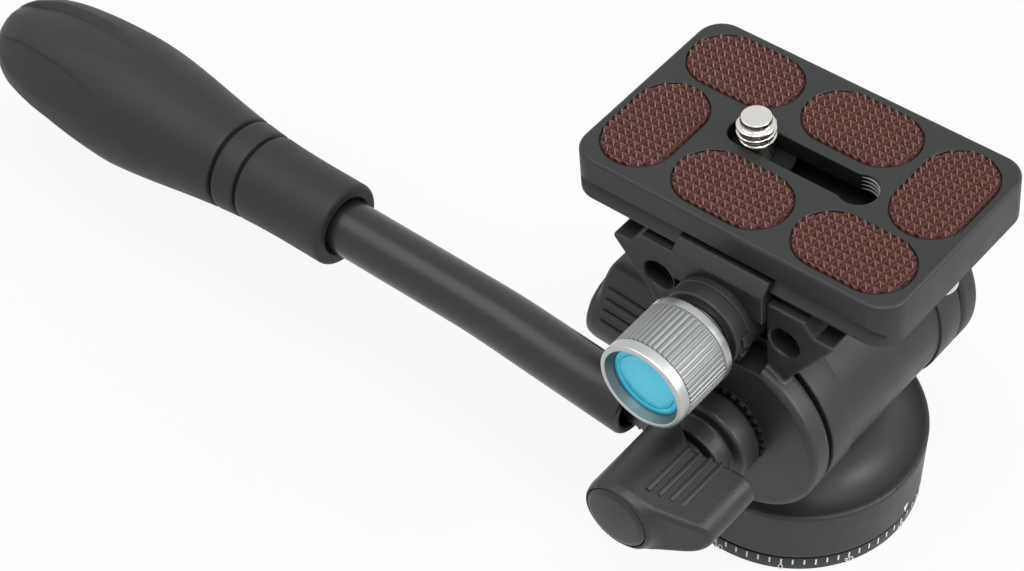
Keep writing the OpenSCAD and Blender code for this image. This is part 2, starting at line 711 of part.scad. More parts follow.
module jaw_spring() color("silver") on_clamp() translate([0, 0, clamp_axis_z]) {
    wire_r = 0.4;
    coil_r = clamp_screw_r + 1.1;
    turns = 2.5;
    sides = 6;
    rings = 30;
    y0 = -jaw_in + wire_r + 0.1;
    l = ear_in + jaw_in - 2 * wire_r - 0.2;
    points = [for (i = [0:rings], k = [0:sides - 1])
        let (t = i / rings, p = coil_point(t, turns, l, 1), a = 360 * k / sides)
            [p[0] * (coil_r + wire_r * cos(a)), y0 + p[1] + wire_r * sin(a), p[2] * (coil_r + wire_r * cos(a))]];
    walls = [for (i = [0:rings - 1], k = [0:sides - 1], half = [0, 1])
        let (a = i * sides + k, b = i * sides + (k + 1) % sides, c = a + sides, d = b + sides)
            half == 0 ? [a, b, d] : [a, d, c]];
    ends = [for (k = [1:sides - 2], last = [0, 1])
        last == 0 ? [0, k + 1, k] : [rings * sides, rings * sides + k, rings * sides + k + 1]];
    polyhedron(points, concat(walls, ends));
}

// Moving jaw and its screw
module moving_jaw() color("dimgray") on_clamp() difference() {
    union() {
        mirror([0, 1, 0]) outline_along_x(-jaw_l / 2, jaw_l / 2) jaw_section(jaw_in);
        translate([0, 0, clamp_axis_z]) along_y(-jaw_out - jaw_boss_l, -jaw_in, jaw_boss_r);
    }
    translate([0, 0, clamp_axis_z]) along_y(-jaw_out - jaw_boss_l - cut, -jaw_in + cut, clamp_screw_r + 0.1);
    translate([0, 0, guide_z]) for (side = [-1, 1])
        translate([side * guide_spacing / 2, 0, 0]) along_y(guide_out, -jaw_in + cut, guide_r + seat_gap);
}

module jaw_guide_pins() color("silver") on_clamp() translate([0, 0, guide_z])
    for (side = [-1, 1]) translate([side * guide_spacing / 2, 0, 0]) along_y(guide_out, guide_in, guide_r);

module clamp_knob() color("silver") on_clamp() translate([0, 0, clamp_axis_z]) {
    plain = 1.5;
    flute_r = 0.36;
    difference() {
        union() {
            along_y(clamp_knob_face, clamp_knob_face + plain, clamp_knob_r);
            outline_along_y(clamp_knob_face + plain, clamp_knob_back - plain) difference() {
                circle(r = clamp_knob_r);
                for (i = [0:clamp_knob_flutes - 1]) rotate(360 * i / clamp_knob_flutes)
                    translate([clamp_knob_r, 0]) circle(r = flute_r);
            }
            along_y(clamp_knob_back - plain, clamp_knob_back, clamp_knob_r - 0.2);
            along_y(clamp_knob_back, -jaw_out - jaw_boss_l - pass_gap / 2, knob_neck_r);
        }
        along_y(clamp_knob_face - cut, clamp_knob_face + knob_recess, knob_disc_r + seat_gap);
        along_y(clamp_knob_face + 4, -jaw_out, clamp_screw_r + seat_gap);
    }
}

module clamp_knob_disc() color("deepskyblue") on_clamp() translate([0, 0, clamp_axis_z]) {
    along_y(clamp_knob_face + knob_recess - knob_disc_t, clamp_knob_face + knob_recess, knob_disc_r);
}

module clamp_screw() color("silver") on_clamp() translate([0, 0, clamp_axis_z]) {
    along_y(clamp_knob_face + 4.2, clamp_screw_in, clamp_screw_r);
}

// Quick release plate
module plate_section() {
    edge = 0.6;
    half = [
        [plate_half_w, plate_z], [plate_half_w, groove_low],
        [plate_half_w - dovetail_depth, groove_mid], [plate_half_w, groove_top],
        [plate_half_w, plate_top - edge], [plate_half_w - edge, plate_top],
    ];
    polygon(concat(half, [for (i = [len(half) - 1:-1:0]) [-half[i][0], half[i][1]]]));
}

module pad_places() {
    for (p = pads) translate([p[0], p[1], plate_top - pad_inlay]) rotate([0, 0, 90 * p[2]]) children();
}

module stop_screw_places() for (side = [-1, 1]) translate([side * stop_screw_x, 0, plate_z]) children();

module quick_release_plate() color("dimgray") on_clamp() difference() {
    intersection() {
        outline_along_x(-plate_l / 2, plate_l / 2) plate_section();
        translate([0, 0, plate_z - cut]) linear_extrude(plate_t + 2 * cut)
            rounded_rectangle(plate_l, plate_w, plate_corner_r);
    }
    translate([0, 0, plate_z - cut]) linear_extrude(plate_t + 2 * cut) obround(slot_l, slot_w);
    translate([0, 0, plate_z - cut]) linear_extrude(head_slot_z - plate_z + cut)
        obround(head_slot_l, head_slot_w);
    pad_places() linear_extrude(pad_inlay + cut) obround(pad_l + 2 * seat_gap, pad_w + 2 * seat_gap);
    stop_screw_places() translate([0, 0, -cut]) cylinder(h = stop_shank_l + cut + 0.2, r = stop_shank_r + seat_gap);
}

module grip_pads() color("brown") on_clamp() pad_places() {
    linear_extrude(pad_inlay + pad_proud) obround(pad_l, pad_w);
}

module stop_screws() color("silver") on_clamp() stop_screw_places() difference() {
    union() {
        translate([0, 0, -stop_head_h]) cylinder(h = stop_head_h, r = stop_head_r);
        cylinder(h = stop_shank_l, r = stop_shank_r);
    }
    translate([0, 0, -stop_head_h - cut]) cylinder(h = cut + 1.4, r = stop_shank_r, $fn = 6);
}

module screw_retainer() color("black") on_clamp() translate([camera_screw_x, 0, retainer_z]) {
    ring(retainer_t, head_slot_w / 2 - 0.1, camera_neck_r + run_gap);
}

module camera_screw() color("silver") on_clamp() translate([camera_screw_x, 0, 0]) difference() {
    chamfer = 0.6;
    rotate_extrude() polygon([
        [0, camera_head_z], [camera_head_r, camera_head_z], [camera_head_r, camera_head_z + camera_head_h],
        [camera_neck_r, camera_head_z + camera_head_h], [camera_neck_r, camera_thread_z],
        [camera_screw_r, camera_thread_z], [camera_screw_r, camera_tip_z - chamfer],
        [camera_screw_r - chamfer, camera_tip_z], [0, camera_tip_z],
    ]);
    translate([-camera_head_r - cut, -0.8, camera_head_z - cut])
        cube([2 * (camera_head_r + cut), 1.6, 1.8 + cut]);
}

// Pan handle
module handle_bracket() color("dimgray") difference() {
    union() {
        translate([0, 0, tilt_axis_z]) along_y(boss_front, boss_back, boss_r);
        translate([0, 0, tilt_axis_z]) along_y(boss_hub_y, boss_back, boss_hub_r);
        difference() {
            on_crank() along_x(crank_l - tenon_l, crank_x, neck_r);
            translate([-crank_x, boss_hub_y - boss_w, 0])
                cube([crank_x + shaft_start, boss_w, 2 * tilt_axis_z]);
        }
    }
    translate([0, 0, tilt_axis_z]) along_y(boss_hub_y - cut, boss_back + cut, stud_r + run_gap);
    on_crank() translate([set_screw_x, 0, -neck_r - cut]) cylinder(h = cut + 1.2, r = set_screw_r + seat_gap);
}

module handle_shaft() color("dimgray") difference() {
    union() {
        on_handle() along_x(-shaft_end, -crank_x + 0.5, shaft_r);
        on_crank() along_x(-0.5, crank_l, crank_r);
    }
    on_crank() along_x(crank_l - tenon_l - 0.2, crank_l + cut, neck_r + seat_gap);
    on_crank() translate([set_screw_x, 0, -crank_r - cut]) cylinder(h = crank_r, r = set_screw_r + seat_gap);
}

module shaft_set_screw() color("gray") on_crank() translate([set_screw_x, 0, -shaft_r + 0.3]) difference() {
    cylinder(h = shaft_r - 0.3 - neck_r + 1, r = set_screw_r);
    translate([0, 0, -cut]) cylinder(h = cut + 0.8, r = set_screw_r * 0.6, $fn = 6);
}

// The grip's outline: distance along the handle from its start, and radius there
module grip_profile_shape() {
    bulb = 55.2;
    body = [for (i = [0:arc_steps]) let (t = i / arc_steps, s = (1 - cos(180 * t)) / 2)
        [grip_neck_r + (grip_bulb_r - grip_neck_r) * pow(s, 1.35), 6 + (bulb - 6) * t]];
    end_l = grip_l - bulb;
    end = [for (i = [1:2 * arc_steps]) let (a = 90 * i / (2 * arc_steps))
        [grip_bulb_r * pow(cos(a), 0.68), bulb + end_l * sin(a)]];
    polygon(concat([[0, 0], [grip_neck_r - 1.6, 0], [grip_neck_r - 0.5, 0.5], [grip_neck_r, 1.8]], body, end));
}

module grip_piece(from, to) on_handle() rotate([0, -90, 0]) difference() {
    translate([0, 0, grip_start]) rotate_extrude() intersection() {
        grip_profile_shape();
        translate([0, from - grip_start]) square([2 * grip_bulb_r, to - from]);
    }
    translate([0, 0, grip_start - cut]) cylinder(h = shaft_end - grip_start + cut + 0.1, r = shaft_r + seat_gap);
}

module handle_grip() color("dimgray") grip_piece(grip_seam_b + ring_groove, grip_end + cut);
module grip_ring() color("dimgray") grip_piece(grip_seam_a + ring_groove, grip_seam_b);
module grip_collar() color("dimgray") grip_piece(grip_start, grip_seam_a);

module handle_lock_knob() color("darkslategray") on_handle_lock() wing_knob(wing_reach, 4.5, 1, -1.45, 0, knob_lift);
module handle_lock_cap() color("dimgray") on_handle_lock() wing_cap(knob_lift);
module handle_lock_stud() color("silver") translate([0, 0, tilt_axis_z]) {
    along_y(lock_back - wing_l + 4.2, front_cheek_out + lock_stud_in, stud_r);
}

base_dial();
pan_spindle();
base_screws();
pan_drag_washer();
pan_washer();
pan_nut();
pan_housing();
pan_bush();
front_tilt_bush();
rear_tilt_bush();
drag_cover();
drag_stator_discs();
axle_seals();
pan_brake_shoe();
pan_lock_knob();
pan_lock_cap();
pan_lock_stud();
yoke_frame();
front_cheek();
cheek_screws();
tilt_axle();
drag_rotor_discs();
axle_screw();
rear_cap();
rosette_ring();
jaw_guide_pins();
jaw_spring();
moving_jaw();
clamp_knob();
clamp_knob_disc();
clamp_screw();
quick_release_plate();
grip_pads();
stop_screws();
screw_retainer();
camera_screw();
handle_bracket();
handle_shaft();
shaft_set_screw();
handle_grip();
grip_ring();
grip_collar();
handle_lock_knob();
handle_lock_cap();
handle_lock_stud();
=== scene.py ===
"""Looks of a compact fluid video head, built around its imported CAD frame."""

import json
import math
from math import cos, hypot, pi, radians, sin

import bmesh
import bpy
import numpy as np
from mathutils import Matrix, Vector

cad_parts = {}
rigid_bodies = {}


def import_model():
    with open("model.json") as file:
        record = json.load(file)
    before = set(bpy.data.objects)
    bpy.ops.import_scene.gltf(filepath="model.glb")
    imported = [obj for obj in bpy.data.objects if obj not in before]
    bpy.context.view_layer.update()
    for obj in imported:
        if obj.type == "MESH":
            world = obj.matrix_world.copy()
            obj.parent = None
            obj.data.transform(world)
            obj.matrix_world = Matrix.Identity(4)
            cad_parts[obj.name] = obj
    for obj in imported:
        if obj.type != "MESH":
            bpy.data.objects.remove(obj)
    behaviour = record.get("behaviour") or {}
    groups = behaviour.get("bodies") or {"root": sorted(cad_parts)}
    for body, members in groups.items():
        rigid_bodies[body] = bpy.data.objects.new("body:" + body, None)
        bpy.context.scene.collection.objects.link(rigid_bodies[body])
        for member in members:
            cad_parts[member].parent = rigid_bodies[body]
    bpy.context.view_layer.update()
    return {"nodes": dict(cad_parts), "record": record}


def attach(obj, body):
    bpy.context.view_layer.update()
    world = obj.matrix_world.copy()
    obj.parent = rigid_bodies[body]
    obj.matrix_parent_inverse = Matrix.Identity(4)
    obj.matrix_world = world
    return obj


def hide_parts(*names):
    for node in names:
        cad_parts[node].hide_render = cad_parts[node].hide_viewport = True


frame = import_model()
scene = bpy.context.scene

# Sizes that several pieces share, in millimetres and degrees
MM = 0.001
BASE_R = 22.1
TILT_Z, TILT_REST = 34.2, 5
CLAMP_X, CLAMP_Z, CLAMP_HALF = -1.75, 22.85, 20.75
PLATE_TOP = 39.3
HANDLE_Y, HANDLE_SLOPE = -26.8, 3.4
LOCK_BACK = -31.7
PAN_LOCK_BACK, PAN_LOCK_Z = -22.8, 13.9
HUB_R = 7.2


def turn(axis, degrees):
    return Matrix.Rotation(radians(degrees), 4, axis)


def shift(x, y, z):
    return Matrix.Translation((x, y, z))


def link(name, data):
    """Puts a new object into the scene."""
    item = bpy.data.objects.new(name, data)
    scene.collection.objects.link(item)
    return item


# Frames in which the pieces are drawn, at rest
ROW = Matrix.Identity(4)
TILT = shift(0, 0, TILT_Z) @ turn("Y", -TILT_REST)
CLAMP = TILT @ shift(CLAMP_X, 0, 0)
HANDLE = shift(0, HANDLE_Y, TILT_Z) @ turn("Y", -HANDLE_SLOPE)
LOCK = shift(0, LOCK_BACK, TILT_Z) @ turn("X", 90)
PAN_LOCK = shift(PAN_LOCK_BACK, 0, PAN_LOCK_Z) @ turn("Y", -90)


# Materials
COAT_ROUGHNESS, GLOSS_SPREAD, NOISE_ROUGHNESS = 0.12, 0.06, 0.6
# The range in which most of a noise's values lie
NOISE_LOW, NOISE_HIGH = 0.3, 0.7


def put(node, values):
    """Sets the values of a node's sockets."""
    for socket, value in values.items():
        node.inputs[socket].default_value = value


def calculate(tree, operation, first, second):
    """A Math node's result; the second input is a number or an output."""
    node = tree.nodes.new("ShaderNodeMath")
    node.operation = operation
    tree.links.new(first, node.inputs[0])
    if isinstance(second, float):
        node.inputs[1].default_value = second
    else:
        tree.links.new(second, node.inputs[1])
    return node.outputs[0]


def shade(color, factor):
    """A screen colour, 0 to 255, as a shader's linear one, times a factor."""
    linear = [((c / 255 + 0.055) / 1.055) ** 2.4 if c > 10 else c / 255 / 12.92 for c in color]
    return tuple(min(1.0, c * factor) for c in linear) + (1.0,)


def material(name, color, roughness, metallic=0.0, specular=0.5, mottle=0.12, patch=6.0, grain=0.25,
             depth=0.012, stretch=(1, 1, 1), coat=0.0):
    """A surface with patchy colour, uneven gloss and a fine grain; sizes in millimetres."""
    mat = bpy.data.materials.new(name)
    mat.use_nodes = True
    tree = mat.node_tree
    nodes, links = tree.nodes, tree.links
    shader = nodes["Principled BSDF"]
    put(shader, {"Metallic": metallic, "Specular IOR Level": specular, "Coat Weight": coat,
                 "Coat Roughness": COAT_ROUGHNESS})
    mapping = nodes.new("ShaderNodeMapping")
    put(mapping, {"Scale": stretch})
    links.new(nodes.new("ShaderNodeTexCoord").outputs["Object"], mapping.inputs["Vector"])

    def noise(size, detail):
        node = nodes.new("ShaderNodeTexNoise")
        put(node, {"Scale": 1 / (size * MM), "Detail": detail, "Roughness": NOISE_ROUGHNESS})
        links.new(mapping.outputs["Vector"], node.inputs["Vector"])
        return node.outputs["Fac"]

    cloud, fine = noise(patch, 3), noise(grain, 2)
    ramp = nodes.new("ShaderNodeValToRGB")
    stops = ((NOISE_LOW, 1 - mottle), (NOISE_HIGH, 1 + mottle))
    for stop, (place, factor) in zip(ramp.color_ramp.elements, stops):
        stop.position, stop.color = place, shade(color, factor)
    average = calculate(tree, "MULTIPLY", calculate(tree, "ADD", cloud, fine), 0.5)
    links.new(average, ramp.inputs["Fac"])
    links.new(ramp.outputs["Color"], shader.inputs["Base Color"])
    gloss = nodes.new("ShaderNodeMapRange")
    put(gloss, {"From Min": NOISE_LOW, "From Max": NOISE_HIGH, "To Min": max(0.02, roughness - GLOSS_SPREAD),
                "To Max": min(1.0, roughness + GLOSS_SPREAD)})
    links.new(cloud, gloss.inputs["Value"])
    links.new(gloss.outputs["Result"], shader.inputs["Roughness"])
    bump = nodes.new("ShaderNodeBump")
    put(bump, {"Strength": 1.0, "Distance": depth * MM})
    links.new(fine, bump.inputs["Height"])
    links.new(bump.outputs["Normal"], shader.inputs["Normal"])
    return mat


# Colour on screen, roughness, and what differs from the defaults
FINISHES = {
    "black_paint": ((38, 38, 39), 0.46, dict(specular=0.4, grain=0.3, depth=0.02)),
    "black_plastic": ((37, 37, 38), 0.42, dict(specular=0.4, grain=0.45, depth=0.03)),
    "grip_rubber": ((38, 38, 39), 0.55, dict(specular=0.35, grain=0.35, depth=0.02)),
    "shaft_paint": ((26, 26, 27), 0.3, dict(patch=10, stretch=(0.25, 1, 1), depth=0.008)),
    "plate_alloy": ((36, 36, 37), 0.44, dict(specular=0.4, grain=0.2)),
    "pad_rubber": ((68, 32, 26), 0.42, dict(specular=0.28, mottle=0.2, patch=3, grain=0.3, depth=0.02)),
    # The lighter colour for the pads' up-facing ridge facets is a painted highlight
    "pad_ridge_highlight": ((114, 76, 64), 0.3, dict(mottle=0.25, patch=2, grain=0.3, depth=0.02)),
    "steel": ((214, 212, 206), 0.2, dict(metallic=1, mottle=0.08, depth=0.004)),
    "dark_steel": ((48, 48, 50), 0.36, dict(metallic=1, depth=0.006)),
    "knob_alloy": ((140, 142, 142), 0.46, dict(metallic=1, mottle=0.06, stretch=(1, 0.2, 1), depth=0.006)),
    # The knob rims' alloy is glossier, and its lighter colour is a painted highlight
    "knob_rim_gloss_and_highlight": ((184, 186, 186), 0.36, dict(metallic=1, mottle=0.05, depth=0.004)),
    # The wall inside the knob's front lip: darker blue-grey as painted shade and a painted reflection of the
    # blue disc
    "knob_lip_shade_and_blue_reflection": ((96, 116, 122), 0.45, dict(metallic=0.7, mottle=0.05, depth=0.004)),
    "blue_disc": ((42, 207, 240), 0.25, dict(metallic=0.25, mottle=0.05, depth=0.004, coat=0.5)),
    "bronze": ((150, 112, 62), 0.35, dict(metallic=1)),
    "seal_rubber": ((16, 16, 16), 0.6, dict(specular=0.25)),
    "nylon": ((200, 196, 184), 0.5, dict(mottle=0.05)),
    "white_paint": ((228, 228, 226), 0.5, dict(mottle=0.06, patch=1.5, grain=0.15)),
}
MATS = {name: material(name, color, rough, **rest) for name, (color, rough, rest) in FINISHES.items()}

# Camera at the photograph's place
AZIMUTH, ELEVATION = 39.6, 49.96
optics = bpy.data.cameras.new("camera")
optics.sensor_width = 36
optics.lens = 104.79
optics.clip_start = 0.01
camera = link("camera", optics)
camera.matrix_world = shift(0.15695, -0.26430, 0.40840) @ turn("Z", AZIMUTH) @ turn("X", 90 - ELEVATION)
scene.camera = camera
scene.view_settings.view_transform = "Standard"


# Light: a white surround that lights less than it shows, and three soft boxes
def seen_rays(tree):
    """1 for a ray from the camera, through glass or off a gloss."""
    rays = tree.nodes.new("ShaderNodeLightPath").outputs
    seen = calculate(tree, "MAXIMUM", rays["Is Camera Ray"], rays["Is Transmission Ray"])
    return calculate(tree, "MAXIMUM", seen, rays["Is Glossy Ray"])


AMBIENT = 0.25
world = bpy.data.worlds.new("studio")
scene.world = world
world.use_nodes = True
sky = world.node_tree
backdrop = sky.nodes["Background"]
put(backdrop, {"Color": (1, 1, 1, 1)})
level = sky.nodes.new("ShaderNodeMapRange")
put(level, {"To Min": AMBIENT, "To Max": 1.0})
sky.links.new(seen_rays(sky), level.inputs["Value"])
sky.links.new(level.outputs["Result"], backdrop.inputs["Strength"])


def softbox(name, place, target, size, watts):
    light = bpy.data.lights.new(name, "AREA")
    light.shape = "RECTANGLE"
    light.size, light.size_y = size
    light.energy = watts
    aim = (Vector(target) - Vector(place)).to_track_quat("-Z", "Y")
    link(name, light).matrix_world = shift(*place) @ aim.to_matrix().to_4x4()


softbox("key", (0.15, -0.22, 1.05), target=(0, 0, 0.03), size=(0.6, 0.5), watts=6.3)
softbox("side", (0.85, 0.25, 0.55), target=(0, 0, 0.03), size=(0.5, 0.5), watts=6.6)
softbox("fill_left", (-0.6, -0.3, 0.8), target=(-0.05, 0, 0.03), size=(0.6, 0.6), watts=1.9)


# Mesh building, in millimetres
def rounded(corners, loop=False, steps=5):
    """A polyline from (x, y, radius) corners, with an arc at each corner that has a radius."""
    line = []
    count = len(corners)
    for i, corner in enumerate(corners):
        point = Vector(corner[:2])
        radius = corner[2] if len(corner) > 2 else 0
        if radius <= 0 or (not loop and i in (0, count - 1)):
            line.append((point.x, point.y))
            continue
        before = Vector(corners[i - 1][:2]) - point
        after = Vector(corners[(i + 1) % count][:2]) - point
        reach = 0.499 * min(before.length, after.length)
        before.normalize()
        after.normalize()
        half = before.angle(after) / 2
        along = min(radius / math.tan(half), reach)
        radius = along * math.tan(half)
        centre = point + (before + after).normalized() * (radius / sin(half))
        start = point + before * along - centre
        end = point + after * along - centre
        first = math.atan2(start.y, start.x)
        swing = (math.atan2(end.y, end.x) - first + pi) % (2 * pi) - pi
        for k in range(steps + 1):
            angle = first + swing * k / steps
            line.append((centre.x + radius * cos(angle), centre.y + radius * sin(angle)))
    return line


def circle(sides):
    """Cosine and sine at equal steps round a circle."""
    angles = [2 * pi * k / sides for k in range(sides)]
    return [(cos(a), sin(a)) for a in angles]


def hoop(r, h, sides):
    """A circle of points at a height."""
    return [(r * c, r * s, h) for c, s in circle(sides)]


def quads(first, second, sides):
    """Faces between two rings, given by the numbers of their first points."""
    return [(first + k, first + (k + 1) % sides, second + (k + 1) % sides, second + k) for k in range(sides)]


def build(verts, faces):
    """A mesh object with its faces turned outward."""
    mesh = bpy.data.meshes.new("shape")
    mesh.from_pydata([tuple(v) for v in verts], [], [tuple(f) for f in faces])
    work = bmesh.new()
    work.from_mesh(mesh)
    bmesh.ops.recalc_face_normals(work, faces=work.faces)
    work.to_mesh(mesh)
    work.free()
    return link("shape", mesh)


# How (across, across, along) becomes (x, y, z)
ORDER = {"X": lambda a, b, h: (h, a, b), "Y": lambda a, b, h: (a, h, b), "Z": lambda a, b, h: (a, b, h)}


def lathe(profile, axis="Z", segments=128, loop=False):
    """Turns (radius, height) points about an axis; a loop is the section of a ring."""
    order = ORDER[axis]
    verts, faces, rings = [], [], []
    for r, h in profile:
        pole = r < 1e-6
        rings.append([len(verts)] * segments if pole else range(len(verts), len(verts) + segments))
        verts += [order(*point) for point in ([(0, 0, h)] if pole else hoop(r, h, segments))]
    for a, b in zip(rings, rings[1:] + rings[:loop]):
        for k in range(segments):
            n = (k + 1) % segments
            face = tuple(dict.fromkeys((a[k], a[n], b[n], b[k])))
            if len(face) > 2:
                faces.append(face)
    if not loop:
        faces += [tuple(ring) for ring in (rings[0], rings[-1]) if ring[0] < ring[1]]
    return build(verts, faces)


def collar(corners, axis="Z", segments=128):
    """A turned ring from the rounded corners of its section."""
    return lathe(rounded(corners, loop=True), axis, segments, loop=True)


def loft(rings):
    """A closed solid through rings of equally many points, with flat ends."""
    count = len(rings[0])
    verts = [p for ring in rings for p in ring]
    faces = [tuple(range(count - 1, -1, -1)), tuple(range(len(verts) - count, len(verts)))]
    for i in range(len(rings) - 1):
        faces += quads(i * count, (i + 1) * count, count)
    return build(verts, faces)


def prism(outline, low, high, axis="Z"):
    order = ORDER[axis]
    return loft([[order(a, b, h) for a, b in outline] for h in (low, high)])


def box(low, high):
    (x0, y0, z0), (x1, y1, z1) = low, high
    return prism([(x0, y0), (x1, y0), (x1, y1), (x0, y1)], z0, z1)


def obround(length, width, steps=24):
    """A rounded slot's outline, long along X."""
    radius, reach = width / 2, (length - width) / 2
    line = []
    for side, start in ((1, -90), (-1, 90)):
        for k in range(steps + 1):
            a = radians(start + 180 * k / steps)
            line.append((side * reach + radius * cos(a), radius * sin(a)))
    return line


def tube(points, radii, sides):
    """A round wire along points, with a radius at each and closed ends."""
    line = [Vector(p) for p in points]
    rings = []
    normal = None
    for i, (point, r) in enumerate(zip(line, radii)):
        along = (line[min(i + 1, len(line) - 1)] - line[max(i - 1, 0)]).normalized()
        if normal is None:
            normal = along.orthogonal().normalized()
        normal = (normal - along * normal.dot(along)).normalized()
        across = along.cross(normal)
        rings.append([point + r * (c * normal + s * across) for c, s in circle(sides)])
    return loft(rings)


def evaluated(item):
    """An object's mesh with its modifiers applied."""
    return bpy.data.meshes.new_from_object(item.evaluated_get(bpy.context.evaluated_depsgraph_get()))


def settle(shape):
    old, shape.data = shape.data, evaluated(shape)
    shape.modifiers.clear()
    bpy.data.meshes.remove(old)
    return shape


def remove(shape):
    bpy.data.batch_remove((shape, shape.data))


def combine(shape, operation, tool):
    step = shape.modifiers.new("combine", "BOOLEAN")
    step.operation = operation
    step.solver = "EXACT"
    step.object = tool
    settle(shape)
    remove(tool)
    return shape


def cut(shape, tool):
    return combine(shape, "DIFFERENCE", tool)


def soften(shape, width, steps=3):
    """Rounds a shape's sharp edges."""
    edge = shape.modifiers.new("edge", "BEVEL")
    edge.width = width
    edge.segments = steps
    edge.limit_method = "ANGLE"
    edge.angle_limit = radians(35)
    edge.use_clamp_overlap = False
    edge.miter_outer = "MITER_ARC"
    return settle(shape)


def join(shape, *others):
    """Puts closed shapes into one mesh."""
    work = bmesh.new()
    for part in (shape,) + others:
        work.from_mesh(part.data)
    work.to_mesh(shape.data)
    work.free()
    for part in others:
        remove(part)
    return shape


def moved(shape, matrix):
    shape.data.transform(matrix)
    return shape


def at_clamp(shape, matrix=ROW):
    """Moves a shape up to the clamp screw's axis."""
    return moved(shape, shift(0, 0, CLAMP_Z) @ matrix)


def piece(shape, name, body, slot, at=ROW, stands_for=(), mat=None, sharp=38, others=()):
    """Seats a shape on its body, in metres; faces marked 1 or 2 get one of the other finishes."""
    shape.name = shape.data.name = name
    shape.data.transform(Matrix.Scale(MM, 4) @ at)
    faces = shape.data.polygons
    faces.foreach_set("use_smooth", [True] * len(faces))
    shape.data.set_sharp_from_angle(angle=radians(sharp))
    marked = [face.material_index for face in faces]
    shape.data.materials.clear()
    for finish in (mat or slot,) + others:
        shape.data.materials.append(MATS[finish])
    faces.foreach_set("material_index", marked if others else [0] * len(marked))
    shape.data.update()
    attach(shape, body)
    if stands_for:
        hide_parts(*stands_for)
    return shape


# Moulded shapes from distance fields, which are negative inside
def slab(value, middle, half):
    return np.abs(value - middle) - half


def round_max(a, b, r):
    """Intersection of two fields with its edge rounded."""
    return np.minimum(-r, np.maximum(a, b)) + np.hypot(np.maximum(r + a, 0), np.maximum(r + b, 0))


def round_min(a, b, r):
    """Union of two fields with a hollow fillet between them."""
    return np.maximum(r, np.minimum(a, b)) - np.hypot(np.maximum(r - a, 0), np.maximum(r - b, 0))


def inset(corners, r):
    """A polygon, counterclockwise, drawn in by r."""
    lines = []
    for (x0, y0), (x1, y1) in zip(corners, corners[1:] + corners[:1]):
        n = Vector((y0 - y1, x1 - x0)).normalized()
        lines.append((n.x, n.y, n.x * x0 + n.y * y0 + r))
    return [((c * b1 - c1 * b) / (a * b1 - a1 * b), (a * c1 - a1 * c) / (a * b1 - a1 * b))
            for (a, b, c), (a1, b1, c1) in zip(lines[-1:] + lines[:-1], lines)]


def polygon(a, b, corners):
    """Distance from a polygon's outline."""
    best, inside = np.inf, np.zeros(np.shape(a), bool)
    for (x0, y0), (x1, y1) in zip(corners, corners[1:] + corners[:1]):
        ex, ey = x1 - x0, y1 - y0
        t = np.clip(((a - x0) * ex + (b - y0) * ey) / (ex * ex + ey * ey), 0, 1)
        best = np.minimum(best, (a - x0 - t * ex) ** 2 + (b - y0 - t * ey) ** 2)
        inside ^= ((y0 <= b) != (y1 <= b)) & (a < x0 + (b - y0) * ex / (ey or 1))
    return np.where(inside, -1, 1) * np.sqrt(best)


def skin(field, low, high, step, keep=0.5):
    """The zero surface of a field, from a point in each cell that it crosses; keeps a share of faces."""
    low = np.array(low, float)
    counts = np.ceil((np.array(high) - low) / step).astype(int) + 1
    axes = [low[i] + step * np.arange(counts[i]) for i in range(3)]
    value = field(*np.meshgrid(*axes, indexing="ij"))
    inside = value < 0
    corners = list(np.ndindex(2, 2, 2))
    total = sum(inside[i:counts[0] - 1 + i, j:counts[1] - 1 + j, k:counts[2] - 1 + k].astype(np.int8)
                for i, j, k in corners)
    cells = np.argwhere((total > 0) & (total < 8))
    index = np.full(total.shape, -1)
    index[tuple(cells.T)] = np.arange(len(cells))
    place, hits = np.zeros((len(cells), 3)), np.zeros(len(cells))
    for start, axis in [(corner, axis) for corner in corners for axis in range(3) if not corner[axis]]:
        near = cells + start
        far = near + np.eye(3, dtype=int)[axis]
        a, b = value[tuple(near.T)], value[tuple(far.T)]
        crosses = (a < 0) != (b < 0)
        point = near.astype(float)
        point[:, axis] += np.where(crosses, a / np.where(crosses, a - b, 1), 0)
        place[crosses] += point[crosses]
        hits += crosses
    verts = low + step * place / hits[:, None]
    reach = 0.15 * step
    for _ in range(3):
        slope = np.stack([(field(*(verts + reach * e).T) - field(*(verts - reach * e).T)) / (2 * reach)
                          for e in np.eye(3)], 1)
        move = (field(*verts.T) / np.maximum((slope ** 2).sum(1), 0.3))[:, None] * slope
        verts = verts - np.clip(move, -0.5 * step, 0.5 * step)
    faces = []
    for axis in range(3):
        u, v = (axis + 1) % 3, (axis + 2) % 3
        first = np.take(inside, range(counts[axis] - 1), axis)
        second = np.take(inside, range(1, counts[axis]), axis)
        edges = np.argwhere(first != second)
        edges = edges[(edges[:, u] > 0) & (edges[:, v] > 0) & (edges[:, u] < counts[u] - 1)
                      & (edges[:, v] < counts[v] - 1)]
        outward = first[tuple(edges.T)]
        quad = []
        for du, dv in ((1, 1), (0, 1), (0, 0), (1, 0)):
            cell = edges.copy()
            cell[:, u] -= du
            cell[:, v] -= dv
            quad.append(index[tuple(cell.T)])
        quad = np.stack(quad, 1)
        quad[~outward] = quad[~outward][:, ::-1]
        faces.append(quad)
    shape = build(verts, np.concatenate(faces))
    shape.modifiers.new("thin", "DECIMATE").ratio = keep
    return settle(shape)


# Base
SPINDLE_BORE, FLANGE_R, FLANGE_Z = 7.02, 12.02, 2.4
DIAL_H, PLATEAU_R, PLATEAU_Z = 2.9, 18, 6
base = collar([(SPINDLE_BORE, FLANGE_Z), (FLANGE_R, FLANGE_Z), (FLANGE_R, 0, 0.2),
               (BASE_R, 0, 0.5), (BASE_R, DIAL_H, 0.25), (PLATEAU_R, DIAL_H), (PLATEAU_R, PLATEAU_Z, 0.3),
               (SPINDLE_BORE, PLATEAU_Z)], segments=192)
piece(base, "base_dial_body", "base", "black_paint", stands_for=["base_dial"])

